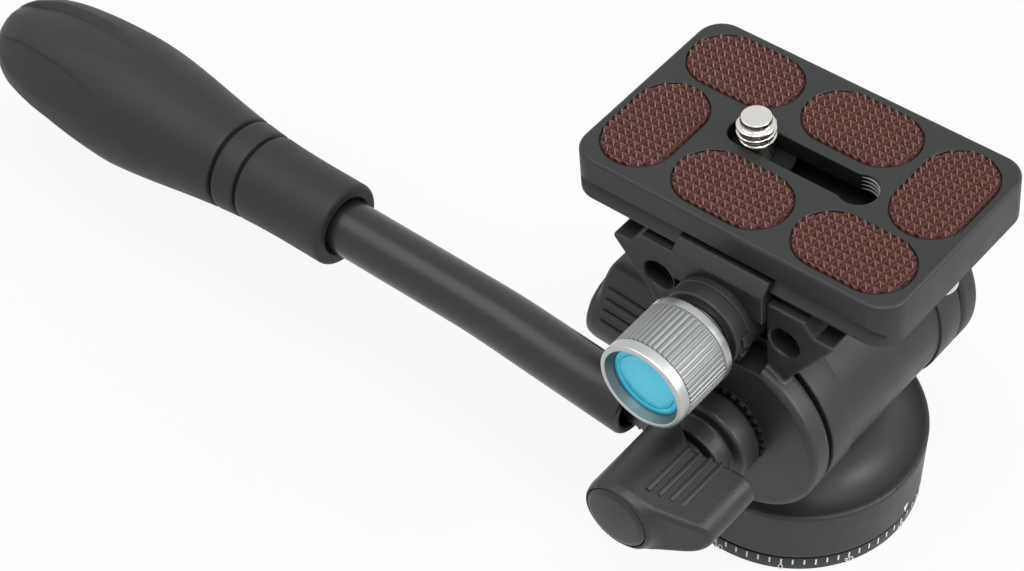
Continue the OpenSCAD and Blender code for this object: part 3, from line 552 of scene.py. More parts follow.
# Pan scale, printed from just inside the base's wall to just outside
PRINT_IN, PRINT_OUT = -0.05, 0.03
SCALE_ZERO = -58.5
TICK_W, TICK_TOP, LONG_TICK, SHORT_TICK = 0.28, 2.8, 1.45, 1.2
NUMBER_SIZE, NUMBER_Z = 1.9, 0.12
INDEX_AT, INDEX_Z = 4.0, 3.75


def wrapped(points, angle, low):
    """Flat points, x along and y up, laid onto the base's wall."""
    return [((BASE_R + z) * cos(angle + x / BASE_R), (BASE_R + z) * sin(angle + x / BASE_R), low + y)
            for x, y, z in points]


def printed(outline, angle, low):
    return loft([wrapped([(x, y, z) for x, y in outline], angle, low) for z in (PRINT_IN, PRINT_OUT)])


def tick(length, angle):
    half = TICK_W / 2
    outline = [(-half, 0), (0, 0), (half, 0), (half, length), (0, length), (-half, length)]
    return printed(outline, angle, TICK_TOP - length)


def number(text, angle):
    words = bpy.data.curves.new("number", "FONT")
    words.body = text
    words.size = NUMBER_SIZE
    words.align_x = "CENTER"
    words.extrude = (PRINT_OUT - PRINT_IN) / 2
    words.resolution_u = 4
    holder = link("number", words)
    mesh = evaluated(holder)
    middle = (PRINT_OUT + PRINT_IN) / 2
    verts = wrapped([(v.co.x, v.co.y, v.co.z + middle) for v in mesh.vertices], angle, NUMBER_Z)
    faces = [tuple(p.vertices) for p in mesh.polygons]
    bpy.data.batch_remove((holder, words, mesh))
    return build(verts, faces)


marks = []
for degrees in range(0, 360, 5):
    angle = radians(SCALE_ZERO + degrees)
    marks.append(tick(LONG_TICK if degrees % 15 == 0 else SHORT_TICK, angle))
    if degrees % 30 == 0:
        marks.append(number(str(degrees), angle))
piece(join(*marks), "base_scale", "base", None, mat="white_paint")


def helix_wall(radius, depth, pitch, low, high, inner, sides):
    """Rows of a threaded wall, by height and then angle; the thread fades out at both ends."""
    rows = max(8, int((high - low) / pitch * 20))
    grid = []
    for i in range(rows + 1):
        h = low + (high - low) * i / rows
        fade = max(0.0, min(1.0, (h - low) / (0.6 * pitch), (high - h) / (0.6 * pitch)))
        ring = []
        for k, (c, s) in enumerate(circle(sides)):
            phase = (h / pitch - k / sides) % 1.0
            crest = max(0.0, min(1.0, 1.6 - 4.2 * abs(phase - 0.5)))
            crest = crest * crest * (3 - 2 * crest)
            r = radius + (-crest * fade if inner else crest * fade - 1) * depth
            ring.append((r * c, r * s, h))
        grid.append(ring)
    return grid


def sleeve(inner_rows, outer_r):
    """A closed ring whose inside is a threaded wall."""
    sides = len(inner_rows[0])
    rows = inner_rows + [hoop(outer_r, row[0][2], sides) for row in (inner_rows[-1], inner_rows[0])]
    faces = []
    for i in range(len(rows)):
        faces += quads(i * sides, (i + 1) % len(rows) * sides, sides)
    return build([p for ring in rows for p in ring], faces)


# Thread in the tripod socket
socket_wall = helix_wall(radius=4.0, depth=0.5, pitch=1.5875, low=0.3, high=9.8, inner=True, sides=48)
piece(sleeve(socket_wall, 4.2), "tripod_thread", "base", "steel")

# Panning body; a slab is its middle and half its length
DRUM_Z, FLARE_Z, BARREL_Y, BOSS_X, NUT_Z = (8.75, 5.55), (24, 12), (0.65, 17.65), (-11.2, 11.2), (23, 5.9)
FLARE_R, BARREL_R, BAND_IN, BAND_R = 14.5, 17.2, 16.8, 17.6
BANDS = ((-17.0, -11.5), (12.8, 18.3))


def housing_field(x, y, z):
    r = np.hypot(x, y)
    rho = np.hypot(x, z - TILT_Z)
    lock = np.hypot(y, z - PAN_LOCK_Z)
    drum = round_max(r - BASE_R, slab(z, *DRUM_Z), 0.6)
    flare = np.maximum(r - FLARE_R, slab(z, *FLARE_Z))
    barrel = round_max(rho - BARREL_R, slab(y, *BARREL_Y), 0.5)
    boss = round_max(lock - HUB_R, slab(x, *BOSS_X), 0.6)
    body = round_min(drum, flare, 7.0)
    body = round_min(body, barrel, 2.0)
    body = round_min(body, boss, 1.2)
    hollow = np.minimum.reduce([
        np.maximum(r - 18.3, z - 6.95),  # over the base
        np.maximum(r - 7.6, z - 30),  # round the spindle
        np.maximum(r - 9.07, z - 10.1),  # pan bush
        np.maximum(r - 10.2, slab(z, *NUT_Z)),  # pan nut and washers
        np.maximum(rho - 12, -13.5 - y),  # drag discs
        rho - 7.07,  # tilt bushes
        np.maximum(lock - 3.0, x),  # pan lock's stud
    ])
    return np.maximum(body, -hollow)


housing = skin(housing_field, (-23.2, -23.2, 2.4), (23.2, 23.2, 52.6), 0.4, keep=0.4)
for low, high in BANDS:
    band = collar([(BAND_IN, low), (BAND_R, low, 0.3), (BAND_R, high, 0.3), (BAND_IN, high)], "Y", 160)
    housing = join(housing, moved(band, shift(0, 0, TILT_Z)))
piece(housing, "pan_housing_body", "pan_body", "black_paint", stands_for=["pan_housing"])

arrow = printed([(-0.7, 1.9), (0, 0), (0.7, 1.9)], radians(INDEX_AT), INDEX_Z)
piece(arrow, "pan_index", "pan_body", None, mat="white_paint")

# Wing knobs
WING_L, WING_TIP_R, WING_EDGE, FOOT_EDGE = 17.0, 3.7, 0.9, 0.35
CAP_SEAT_Z, CAP_GAP = 16.0, 0.15
STUD_BORE_R, STUD_BORE_L = 2.97, 13
RIB_IN, RIB_OUT, RIB_EDGE = -0.9, 0.4, 0.2
# The swept back edge, deepest at SWEEP_X, and the neck that stays round the stud
SWEEP_X, SWEEP_OUT, SWEEP_IN, KNOB_NECK_R, KNOB_NECK_L = 2.5, 0.385, 0.7, 4.8, 9


def wing_knob(reach, drop, bevel, ribs, lift, cap_r, cap_x, taper=0.0, sweep=0.0):
    """A hub with one wing, whose end falls by drop, and four ribs on each side."""
    tip_x = reach - WING_TIP_R
    root, tip = (HUB_R, WING_L - 0.55 * drop), (reach - bevel, WING_L - drop - 0.2)
    fall = hypot(tip[0] - root[0], tip[1] - root[1])

    def field(x, y, z):
        ahead = np.clip(z / WING_L, 0, 1)
        hub_r = HUB_R - taper * ahead
        lean = (hub_r - WING_TIP_R) / tip_x
        flat = np.sqrt(1 - lean * lean)
        side = np.abs(y - lift)
        centred = x - cap_x * ahead * (1 - np.clip(x / tip_x, 0, 1))
        along = flat * centred - lean * side
        outline = np.where(along < 0, np.hypot(centred, side) - hub_r,
                           np.where(along > flat * tip_x, np.hypot(x - tip_x, side) - WING_TIP_R,
                                    flat * side + lean * centred - hub_r))
        slope = ((z - root[1]) * (tip[0] - root[0]) - (x - root[0]) * (tip[1] - root[1])) / fall
        corner = (x - reach + z - (tip[1] - 0.6 * bevel)) * math.sqrt(0.5)
        end = np.maximum(round_max(slope, corner, 1.5), z - WING_L + 1.5)
        hub = round_max(np.hypot(x - cap_x * ahead, y - lift) - hub_r, z - WING_L, 0.7)
        body = round_max(outline, round_min(end, hub, 1.6), WING_EDGE)
        if sweep:
            back = np.minimum((sweep - SWEEP_OUT * (x - SWEEP_X) - z) / hypot(1, SWEEP_OUT),
                              (sweep + SWEEP_IN * (x - SWEEP_X) - z) / hypot(1, SWEEP_IN))
            neck = np.maximum(np.hypot(x, y) - KNOB_NECK_R, z - KNOB_NECK_L)
            body = np.minimum(round_max(body, back, FOOT_EDGE), neck)
        body = round_max(body, -z, FOOT_EDGE)
        seat = np.maximum(np.hypot(x - cap_x, y - lift) - cap_r - CAP_GAP, CAP_SEAT_Z - z)
        bore = np.maximum(np.hypot(x, y) - STUD_BORE_R, z - STUD_BORE_L)
        return np.maximum(body, -np.minimum(seat, bore))

    knob = skin(field, (-8.2, lift - 7.8, -0.6), (reach + 0.6, lift + 7.8, WING_L + 0.6), 0.2)
    bars = []
    lean = math.degrees(math.asin((HUB_R - WING_TIP_R) / tip_x))
    draft = math.degrees(math.atan2(taper, WING_L))
    for side in (1, -1):
        for i in range(4):
            x, z = ribs["first"] + ribs["pitch"] * i, ribs["start"] + ribs["step"] * i
            bar = box((x, RIB_IN, z), (x + ribs["width"], RIB_OUT, z + ribs["length"]))
            bar = moved(soften(bar, RIB_EDGE), shift(0, HUB_R, 0) @ turn("X", draft))
            moved(bar, shift(0, lift, 0) @ Matrix.Scale(side, 4, (0, 1, 0)) @ turn("Z", -lean))
            if side < 0:
                bar.data.flip_normals()
            bars.append(bar)
    return join(knob, *bars)


def wing_cap(lift, cap_r, cap_x):
    low, edge, crown, high = 16.05, 16.95, 17.3, 17.6
    cap = lathe(rounded([(0, low), (cap_r, low), (cap_r, edge, 0.3), (cap_r - 0.9, crown, 2.0), (0, high)]),
                segments=96)
    return moved(cap, shift(cap_x, lift, 0))


FRONT_END = dict(lift=1.4, cap_r=5.6, cap_x=-0.8)
FRONT_RIBS = dict(first=-0.5, pitch=1.8, width=0.75, start=3.2, step=-0.66, length=10.2)
piece(wing_knob(reach=13.2, drop=4.5, bevel=1.0, ribs=FRONT_RIBS, taper=0.8, sweep=3.2, **FRONT_END),
      "handle_lock_grip", "handle_lock", "black_plastic", LOCK, ["handle_lock_knob"])
piece(wing_cap(**FRONT_END), "handle_lock_end", "handle_lock", "black_plastic", LOCK, ["handle_lock_cap"])
REAR_END = dict(lift=0.0, cap_r=6.2, cap_x=0.0)
REAR_RIBS = dict(first=-0.4, pitch=2.3, width=0.9, start=4.0, step=0.0, length=9.9)
piece(wing_knob(reach=15.6, drop=2.0, bevel=3.0, ribs=REAR_RIBS, **REAR_END),
      "pan_lock_grip", "pan_lock", "black_plastic", PAN_LOCK, ["pan_lock_knob"])
piece(wing_cap(**REAR_END), "pan_lock_end", "pan_lock", "black_plastic", PAN_LOCK, ["pan_lock_cap"])

# Tilting body, with the outlines of its ears
EAR = [(0, 0), (19, 26.4), (19, 27.2), (15.75, 27.2), (13.75, 29.6), (-17.25, 29.6), (-19.25, 27.2),
       (-22.5, 27.2), (-22.5, 26.4)]
RAISED = [(-15.68, 18.4), (13.24, 18.4)] + EAR[1:]
EDGE = 0.4
EAR_IN, RAISED_IN = inset(EAR, EDGE), inset(RAISED, EDGE)
CHEEK_R, CHEEK_EDGE, CHEEK_FILLET, AXLE_R = 17.6, 1.3, 0.6, 5.02
NOTCH_HALF, NOTCH_Z = 8.75, 15.4
EAR_HOLE_X, EAR_HOLE_R, EAR_HOLE_END = 12.0, 2.72, -14
EAR_FACE, EAR_CHAMFER = -19.75, 0.25
BED_Y, BED_Z = (3.35, 16.25), (28.45, 2.25)
CAP_RECESS_R, CAP_RECESS_Y, REAR_FACE = 9, 21.3, 23.2


def cheek(x, y, z, ear_y, lug_y, disc_y):
    """Distance from the tilt axis, and fields of a cheek's ear, raised lug and disc, each a slab in y."""
    rho = np.hypot(x, z)
    ear, lug = (round_max(polygon(x, z, outline) - EDGE, slab(y, *span), EDGE)
                for outline, span in ((EAR_IN, ear_y), (RAISED_IN, lug_y)))
    return rho, ear, lug, round_max(rho - CHEEK_R, slab(y, *disc_y), CHEEK_EDGE)


def front_field(x, y, z):
    rho, ear, lug, disc = cheek(x, y, z, ear_y=(-18.7, 1.3), lug_y=(-16.5, 3.5), disc_y=(-19.8, 2.4))
    body = round_min(np.minimum(ear, lug), disc, CHEEK_FILLET)
    body = round_max(body, -np.maximum(slab(x, CLAMP_X, NOTCH_HALF), NOTCH_Z - z), 0.2)
    for side in (-1, 1):
        r = np.hypot(x - CLAMP_X - side * EAR_HOLE_X, z - CLAMP_Z)
        hole = np.maximum(r - EAR_HOLE_R - np.clip(EAR_FACE - y, 0, EAR_CHAMFER), y - EAR_HOLE_END)
        body = np.maximum(body, -hole)
    return np.maximum(body, AXLE_R - rho)


front = skin(front_field, (-23.2, -22.9, -18.4), (19.8, -12.3, 30.3), 0.27)
piece(front, "front_cheek_body", "tilt_body", "black_paint", TILT, ["front_cheek"])


def yoke_field(x, y, z):
    rho, ear, lug, disc = cheek(x, y, z, ear_y=(20.1, 1.4), lug_y=(-8.5, 4.5), disc_y=(21.1, 2.4))
    bed = round_max(slab(x, CLAMP_X, CLAMP_HALF), slab(y, *BED_Y), EDGE)
    bed = round_max(bed, slab(z, *BED_Z), EDGE)
    body = np.minimum(np.minimum(lug, bed), round_min(ear, disc, CHEEK_FILLET))
    recess = np.maximum(rho - CAP_RECESS_R - np.maximum(0, y - REAR_FACE), CAP_RECESS_Y - y)
    body = round_max(body, -recess, 0.1)
    screw = np.maximum(np.hypot(x - CLAMP_X, z - CLAMP_Z) - 2.55, y + 4.5)
    return np.maximum(body, -np.minimum(screw, np.maximum(rho - AXLE_R, 16 - y)))


# Section of the fixed jaw's lip; the moving jaw has it mirrored
JAW_LOW, JAW_STEP, FIXED_JAW_IN, JAW_BACK = 25.5, 30.6, 15.6, 17.6
JAW = [(21, JAW_LOW), (21, 31.2), (19.1, 33.1), (17.8, 33.1), (17.8, 32.883), (19.2, 31.483), (19.2, JAW_STEP)]
yoke = skin(yoke_field, (-23.2, -13.6, -18.4), (19.8, 24.2, 31.4), 0.32)
section = [(FIXED_JAW_IN, JAW_STEP), (FIXED_JAW_IN, JAW_LOW)] + JAW
fixed_jaw = prism(section, CLAMP_X - CLAMP_HALF, CLAMP_X + CLAMP_HALF, "X")
yoke = join(yoke, soften(fixed_jaw, 0.15, 2))
piece(yoke, "yoke_frame_body", "tilt_body", "black_paint", TILT, ["yoke_frame"])

# Moving jaw, with a ringed boss and two tabs
JAW_HALF = 8.6
BOSS_BORE, BOSS_R, BOSS_END = 2.6, 7.05, -25.2
RIM_IN, RIM_R, RIM_Y = 6.4, 7.3, (-21.6, -22.5)
section = [(-y, z) for y, z in [(JAW_BACK, JAW_STEP), (JAW_BACK, JAW_LOW)] + JAW]
jaw = soften(prism(section, -JAW_HALF, JAW_HALF, "X"), 0.3)
boss = collar([(BOSS_BORE, -JAW_BACK), (BOSS_BORE, BOSS_END), (BOSS_R, BOSS_END, 0.5),
               (BOSS_R, -JAW_BACK)], "Y")
jaw = combine(jaw, "UNION", at_clamp(boss))
back, face = RIM_Y
rim = collar([(RIM_IN, back), (RIM_IN, face), (RIM_R, face, 0.18), (RIM_R, back)], "Y")
jaw = join(jaw, at_clamp(rim))
for degrees in (4, -26):
    tab = soften(box((6.3, -24.1, -1.0), (7.55, -22.3, 1.0)), 0.15, 2)
    jaw = join(jaw, at_clamp(tab, turn("Y", -degrees)))
piece(jaw, "moving_jaw_body", "clamp_jaw", "black_paint", CLAMP, ["moving_jaw"])

# Clamp knob
KNOB_R, KNOB_FACE, KNOB_FLOOR, KNOB_BACK, KNOB_END = 7.8, -39.95, -38.0, -27.2, -25.35
KNOB_LIP_R, KNOB_STEP_R, KNOB_HUB_R = 6.95, 7.6, 5
FLUTES, FLUTE_POINTS, FLUTE_SHARE, FLUTE = 52, 10, 0.62, 0.18


def fluted(stations):
    """A turned body with straight flutes: (height, radius, flute depth) stations along Y."""
    sides = FLUTES * FLUTE_POINTS
    grooves = []
    for k in range(sides):
        phase = (k % FLUTE_POINTS) / FLUTE_POINTS - 0.5
        grooves.append(max(0.0, 1 - (2 * phase / FLUTE_SHARE) ** 2))
    return loft([[((r - depth * groove) * c, h, (r - depth * groove) * s)
                  for groove, (c, s) in zip(grooves, circle(sides))] for h, r, depth in stations])


rim_front = rounded([(0, KNOB_FLOOR), (6.12, KNOB_FLOOR, 0.1), (6.2, -38.7, 0.1), (KNOB_LIP_R, KNOB_FACE, 0.2),
                     (KNOB_R, KNOB_FACE, 0.5), (KNOB_R, -37.95, 0.1)], steps=6)
rim_back = rounded([(KNOB_R, -28.8, 0.12), (KNOB_R, KNOB_BACK, 0.35), (KNOB_HUB_R, KNOB_BACK, 0.2),
                    (KNOB_HUB_R, KNOB_END), (0, KNOB_END)], steps=6)
stations = [(h, r, 0) for r, h in rim_front if r > 0]
stations += [(-37.8, KNOB_STEP_R, 0), (-37.73, KNOB_STEP_R, 0.02), (-37.65, 7.78, 0.14), (-37.0, KNOB_R, FLUTE),
             (-33, KNOB_R, FLUTE), (-29.8, KNOB_R, FLUTE), (-29.1, 7.78, 0.14), (-29.02, KNOB_STEP_R, 0.02),
             (-28.95, KNOB_STEP_R, 0)]
stations += [(h, r, 0) for r, h in rim_back if r > 0]
knob = fluted(stations)
# Faces marked 1, the front and back rims, take the lighter alloy as a painted highlight
for face in knob.data.polygons:
    x, y, z = face.center
    if y < KNOB_FLOOR - 0.05 and hypot(x, z) < KNOB_LIP_R - 0.05:
        face.material_index = 2
    else:
        face.material_index = int(not -37.94 < y < -28.7)
# Faces marked 2, the wall inside the front lip, are painted shade and a painted reflection of the blue disc
piece(at_clamp(knob), "clamp_knob_body", "clamp_turn", "knob_alloy", CLAMP, ["clamp_knob"], sharp=30,
      others=("knob_rim_gloss_and_highlight", "knob_lip_shade_and_blue_reflection"))
disc = lathe(rounded([(0, -38.4), (5.0, -38.4, 0.1), (5.15, -38.28, 0.08), (5.35, -38.28, 0.08),
                      (5.5, -38.42, 0.08), (6.1, -38.42, 0.06), (6.1, -38.01), (0, -38.01)]), "Y")
piece(at_clamp(disc), "clamp_knob_inlay", "clamp_turn", "blue_disc", CLAMP, ["clamp_knob_disc"])

# Quick release plate
PLATE_X, PLATE_Y, PLATE_CORNER, PLATE_EDGE, PLATE_LOW = 30.0, 19.0, 4.5, 0.7, 30.9
# Places and turns of the pads, and the size of one and of its recess
PADS = [(-18.2, 11.1, 0), (4.1, 11.1, 0), (-4.1, -11.1, 0), (18.2, -11.1, 0), (-22.3, -6.7, 90),
        (22.3, 6.7, 90)]
PAD_L, PAD_W, RECESS_L, RECESS_W, RECESS_DEPTH = 20, 12.1, 20.4, 12.5, 0.7
# The slot, its round entry and the recess under it
SLOT_LEFT, SLOT_HALF, ENTRY_X, ENTRY_R = -12.75, 2.8, 11.2, 3.3
UNDER_L, UNDER_W, UNDER_Z, CUT_LOW = 32.6, 12.6, 36.1, 29


def plate_ring(less, z):
    corners = [(sx * (PLATE_X - less), sy * (PLATE_Y - less), PLATE_CORNER - less)
               for sx, sy in ((1, -1), (1, 1), (-1, 1), (-1, -1))]
    return [(x, y, z) for x, y in rounded(corners, loop=True, steps=12)]


def sunk(length, width, low, chamfer):
    """A cutter for an obround recess with a small chamfer at the plate's top."""
    levels = ((low, 0), (PLATE_TOP - chamfer, 0), (PLATE_TOP + 0.5, chamfer + 0.5))
    return loft([[(x, y, z) for x, y in obround(length + 2 * wide, width + 2 * wide)] for z, wide in levels])


rings = [plate_ring(0.2, PLATE_LOW), plate_ring(0, PLATE_LOW + 0.2), plate_ring(0, PLATE_TOP - PLATE_EDGE)]
rings += [plate_ring(PLATE_EDGE * (1 - cos(a)), PLATE_TOP - PLATE_EDGE + PLATE_EDGE * sin(a))
          for a in (radians(d) for d in (18, 36, 54, 72, 90))]
plate = loft(rings)
for side in (-1, 1):
    groove = [(side * 19.5, PLATE_LOW), (side * 17.4, 33.0), (side * 19.5, 35.1)]
    plate = cut(plate, prism(groove, -40, 40, "X"))
slot_l = ENTRY_X + SLOT_HALF - SLOT_LEFT
plate = cut(plate, moved(sunk(slot_l, 2 * SLOT_HALF, CUT_LOW, 0.15), shift(SLOT_LEFT + slot_l / 2, 0, 0)))
entry = lathe([(0, CUT_LOW), (ENTRY_R, CUT_LOW), (ENTRY_R, PLATE_TOP - 0.15), (ENTRY_R + 0.65, PLATE_TOP + 0.5),
               (0, PLATE_TOP + 0.5)], segments=96)
plate = cut(plate, moved(entry, shift(ENTRY_X, 0, 0)))
plate = cut(plate, prism(obround(UNDER_L, UNDER_W), CUT_LOW, UNDER_Z))
for x, y, degrees in PADS:
    recess = sunk(RECESS_L, RECESS_W, PLATE_TOP - RECESS_DEPTH, 0.12)
    plate = cut(plate, moved(recess, shift(x, y, 0) @ turn("Z", degrees)))
# The slot and the recess under it get near-black rubber as painted shade
for face in plate.data.polygons:
    x, y, z = face.center
    face.material_index = int(abs(x) < 16.6 and abs(y) < 6.5 and PLATE_LOW + 0.05 < z < PLATE_TOP - 0.16)
piece(plate, "quick_release_body", "plate", "plate_alloy", CLAMP, ["quick_release_plate"],
      others=("seal_rubber",))

# Thread in the slot's round entry, in the knob's bright alloy in place of the plate's finish as a painted glint
RIDGES, RIDGE_PITCH, RIDGE_Z, RIDGE_FIRST, RIDGE_LAST = 4, 0.8, 36.4, -10, 114
ridges = []
for i in range(RIDGES):
    arc, radii = [], []
    for degrees in range(RIDGE_FIRST, RIDGE_LAST + 3, 6):
        a = radians(degrees)
        arc.append((ENTRY_X + ENTRY_R * cos(a), ENTRY_R * sin(a),
                    RIDGE_Z + RIDGE_PITCH * i - RIDGE_PITCH * degrees / 360))
        radii.append(0.04 + 0.17 * min(1.0, (degrees - RIDGE_FIRST) / 30, (RIDGE_LAST - degrees) / 30))
    ridges.append(tube(arc, radii, 8))
piece(join(*ridges), "slot_thread", "plate", "plate_alloy", CLAMP, mat="knob_alloy")

# Pads with small pyramids; heights from the plate's top
PITCH, VALLEY, WAIST, PEAK, BLOCK_LOW = 1.5, -0.38, -0.04, 0.42, -0.6
CORNERS = ((-1, -1), (1, -1), (1, 1), (-1, 1))
# Half width, height and chamfer of a pyramid's three levels
LEVELS = ((PITCH / 2, VALLEY, 0.06), (0.46, WAIST, 0.12), (0.11, PEAK, 0.09))


def pyramid_block(columns, rows):
    """A block with chamfered pyramids on top, which share points where they meet."""
    verts, faces, known = [], [], {}

    def spot(x, y, z):
        key = (round(x, 4), round(y, 4), round(z, 4))
        if key not in known:
            known[key] = len(verts)
            verts.append((x, y, PLATE_TOP + z))
        return known[key]

    for j in range(rows):
        for i in range(columns):
            x, y = (i - columns / 2 + 0.5) * PITCH, (j - rows / 2 + 0.5) * PITCH
            feet, waist, tops = [], [], []
            for k, (sx, sy) in enumerate(CORNERS):
                sides = [(to[0] - sx, to[1] - sy) for to in (CORNERS[k - 1], CORNERS[(k + 1) % 4])]
                for (half, z, chamfer), points in zip(LEVELS, (feet, waist, tops)):
                    points.append([spot(x + sx * half + dx * chamfer / 2, y + sy * half + dy * chamfer / 2, z)
                                   for dx, dy in sides])
                node = spot(x + sx * PITCH / 2, y + sy * PITCH / 2, VALLEY)
                faces.append((node, feet[k][1], feet[k][0]))
                for low, high in ((feet, waist), (waist, tops)):
                    faces.append((low[k][0], low[k][1], high[k][1], high[k][0]))
            for k in range(4):
                n = (k + 1) % 4
                for low, high in ((feet, waist), (waist, tops)):
                    faces.append((low[k][1], low[n][0], high[n][0], high[k][1]))
            faces.append(tuple(p for pair in tops for p in pair))
    edge_x, edge_y = columns * PITCH / 2, rows * PITCH / 2
    border = sorted((i for i, v in enumerate(verts) if v[2] < PLATE_TOP + 0.8 * VALLEY
                     and (abs(abs(v[0]) - edge_x) < 1e-6 or abs(abs(v[1]) - edge_y) < 1e-6)),
                    key=lambda i: math.atan2(verts[i][1], verts[i][0]))
    below = len(verts)
    verts += [(verts[i][0], verts[i][1], PLATE_TOP + BLOCK_LOW) for i in border]
    count = len(border)
    faces += [(border[k], below + k, below + (k + 1) % count, border[(k + 1) % count]) for k in range(count)]
    faces.append(tuple(range(below, below + count)))
    return build(verts, faces)


pyramids = combine(pyramid_block(14, 9), "INTERSECT", prism(obround(PAD_L - 0.1, PAD_W - 0.1), 38.65, 41))
# Up-facing ridge facets and the pyramids' tops take the lighter colour, a painted highlight
for face in pyramids.data.polygons:
    lean = min(abs(face.normal.x), abs(face.normal.y))
    on_top = face.center.z > PLATE_TOP + PEAK - 0.02
    face.material_index = int(face.normal.z > 0.3 and (lean > 0.25 or on_top))
pad_levels = ((0, -0.7), (0, -0.2), (0.1, -0.1), (0.25, -0.25))
pad = loft([[(x, y, PLATE_TOP + z) for x, y in obround(PAD_L - 2 * less, PAD_W - 2 * less)]
            for less, z in pad_levels])
pad = join(pad, pyramids)
pads = [moved(link("pad", pad.data.copy()), shift(x, y, 0) @ turn("Z", degrees)) for x, y, degrees in PADS]
remove(pad)
piece(join(*pads), "grip_pad_set", "plate", "pad_rubber", CLAMP, ["grip_pads"], sharp=20,
      others=("pad_ridge_highlight",))

# Stop screws under the plate, with a hexagon socket
STOP_X, STOP_LOW, STOP_R, STOP_SHANK_R, STOP_TOP = 26.2, 28.0, 3, 1.5, 34.5
screws = []
for side in (-1, 1):
    screw = lathe(rounded([(0, STOP_LOW), (STOP_R, STOP_LOW, 0.45), (STOP_R, PLATE_LOW, 0.15),
                           (STOP_SHANK_R, PLATE_LOW), (STOP_SHANK_R, STOP_TOP), (0, STOP_TOP)]), segments=64)
    socket = lathe([(0, 27), (1.6, 27), (1.6, 29.4), (0, 29.7)], segments=6)
    screws.append(moved(cut(screw, socket), shift(side * STOP_X, 0, 0)))
piece(join(*screws), "stop_screw_set", "plate", "steel", CLAMP, ["stop_screws"])

# Camera screw with its quarter inch thread
SCREW_X, SCREW_SIDES = -7.8, 96
SCREW_NECK = ((2.58, 35.0), (2.58, 39.3), (2.6, 39.36))
SCREW_TIP = ((2.5, 43.3), (2.46, 43.45), (2.45, 43.6), (2.44, 43.75), (2.4, 43.84), (2.32, 43.88), (2.2, 43.9))
HEAD_R, HEAD_LOW, HEAD_TOP = 5.8, 31.4, 35.2
thread = helix_wall(radius=3.175, depth=0.68, pitch=1.27, low=39.4, high=43.2, inner=False, sides=SCREW_SIDES)
shank = loft([hoop(r, z, SCREW_SIDES) for r, z in SCREW_NECK] + thread
             + [hoop(r, z, SCREW_SIDES) for r, z in SCREW_TIP])
head = lathe(rounded([(0, HEAD_LOW), (HEAD_R, HEAD_LOW, 0.3), (HEAD_R, HEAD_TOP, 0.3), (0, HEAD_TOP)]),
             segments=SCREW_SIDES)
head = cut(head, box((-7, -0.8, 30), (7, 0.8, 33.2)))
piece(moved(join(shank, head), shift(SCREW_X, 0, 0)), "camera_screw_body", "screw", "steel", CLAMP,
      ["camera_screw"], sharp=55)

# Handle bracket: a boss, a hub and a ridged neck that goes into the shaft's end
CRANK_X, CRANK_ANGLE, CRANK_L = 43.4, 3.4, 30.654
CRANK = shift(-CRANK_X, 0, 0) @ turn("Z", -CRANK_ANGLE)
to_crank = np.array((HANDLE @ CRANK).inverted())
ARM_R, ARM_Y, ARM_HUB_R, ARM_HUB_Y = 8.2, (-25.6, 2.4), 6.0, (-28, 3.4)
ARM_NECK_R, ARM_NECK_U, ARM_BORE = 3.45, (33, 10.3), 3.0
ARM_BACK, ARM_NECK_FRONT = -23.2, -29.5
WAVE, WAVE_PITCH, WAVE_FROM, WAVE_TO = 0.22, 1.1, 30, 36


def bracket_field(x, y, z):
    rho = np.hypot(x, z - TILT_Z)
    boss = round_max(rho - ARM_R, slab(y, *ARM_Y), 0.9)
    hub = round_max(rho - ARM_HUB_R, slab(y, *ARM_HUB_Y), 0.4)
    u, v, w = (row[0] * x + row[1] * y + row[2] * z + row[3] for row in to_crank[:3])
    wave = np.clip(np.sin(2 * np.pi * u / WAVE_PITCH) * 1.5, -1, 1)
    ridge = WAVE * wave * ((u > WAVE_FROM) & (u < WAVE_TO))
    neck = np.maximum(np.hypot(v, w) - ARM_NECK_R - ridge, slab(u, *ARM_NECK_U))
    body = round_min(round_min(boss, hub, 0.5), np.maximum(neck, ARM_NECK_FRONT - y), 0.8)
    return np.maximum(np.maximum(body, ARM_BORE - rho), y - ARM_BACK)


bracket = skin(bracket_field, (-24, -32.2, 24.8), (9.2, -22.4, 43.6), 0.22)
piece(bracket, "handle_bracket_body", "handle", "black_paint", stands_for=["handle_bracket"])

# Handle shaft, with a soft bend near the bracket
SHAFT_R, CRANK_R, SHAFT_END_R = 4.9, 5.05, 4.6
BEND_L, BEND_STEPS = 6, 12
bend = radians(CRANK_ANGLE)
shaft_line = [(-124.0, 0, 0), (-123.8, 0, 0), (-60, 0, 0)]
radii = [SHAFT_END_R, SHAFT_R, SHAFT_R]
for k in range(BEND_STEPS + 1):
    t = k / BEND_STEPS
    shaft_line.append((-CRANK_X - BEND_L * (1 - t) ** 2 + BEND_L * t * t * cos(bend),
                       -BEND_L * t * t * sin(bend), 0))
    radii.append(SHAFT_R + (CRANK_R - SHAFT_R) * t)
for along in (10, 20, CRANK_L - 0.5, CRANK_L - 0.15, CRANK_L):
    shaft_line.append((-CRANK_X + along * cos(bend), -along * sin(bend), 0))
radii += [CRANK_R, CRANK_R, CRANK_R, SHAFT_R, SHAFT_END_R]
shaft = tube(shaft_line, radii, 64)
hole = moved(lathe([(0, 22.6), (3.7, 22.6), (3.7, 33), (0, 33)], "X", 48), CRANK)
piece(cut(shaft, hole), "handle_shaft_tube", "handle", "black_paint", HANDLE, ["handle_shaft"],
      mat="shaft_paint")

# Grip: turned pieces along -X, by radius and distance from the grip's start
GRIP_START, GRIP_L, SHAFT_SEAT, SHAFT_HOLE_L = 75.8, 80.8, 4.92, 48.3
BULB, BULB_R, NECK_L, NECK_R = 55.2, 11.9, 6, 7.6
NECK_POWER, BULB_POWER = 1.35, 0.68


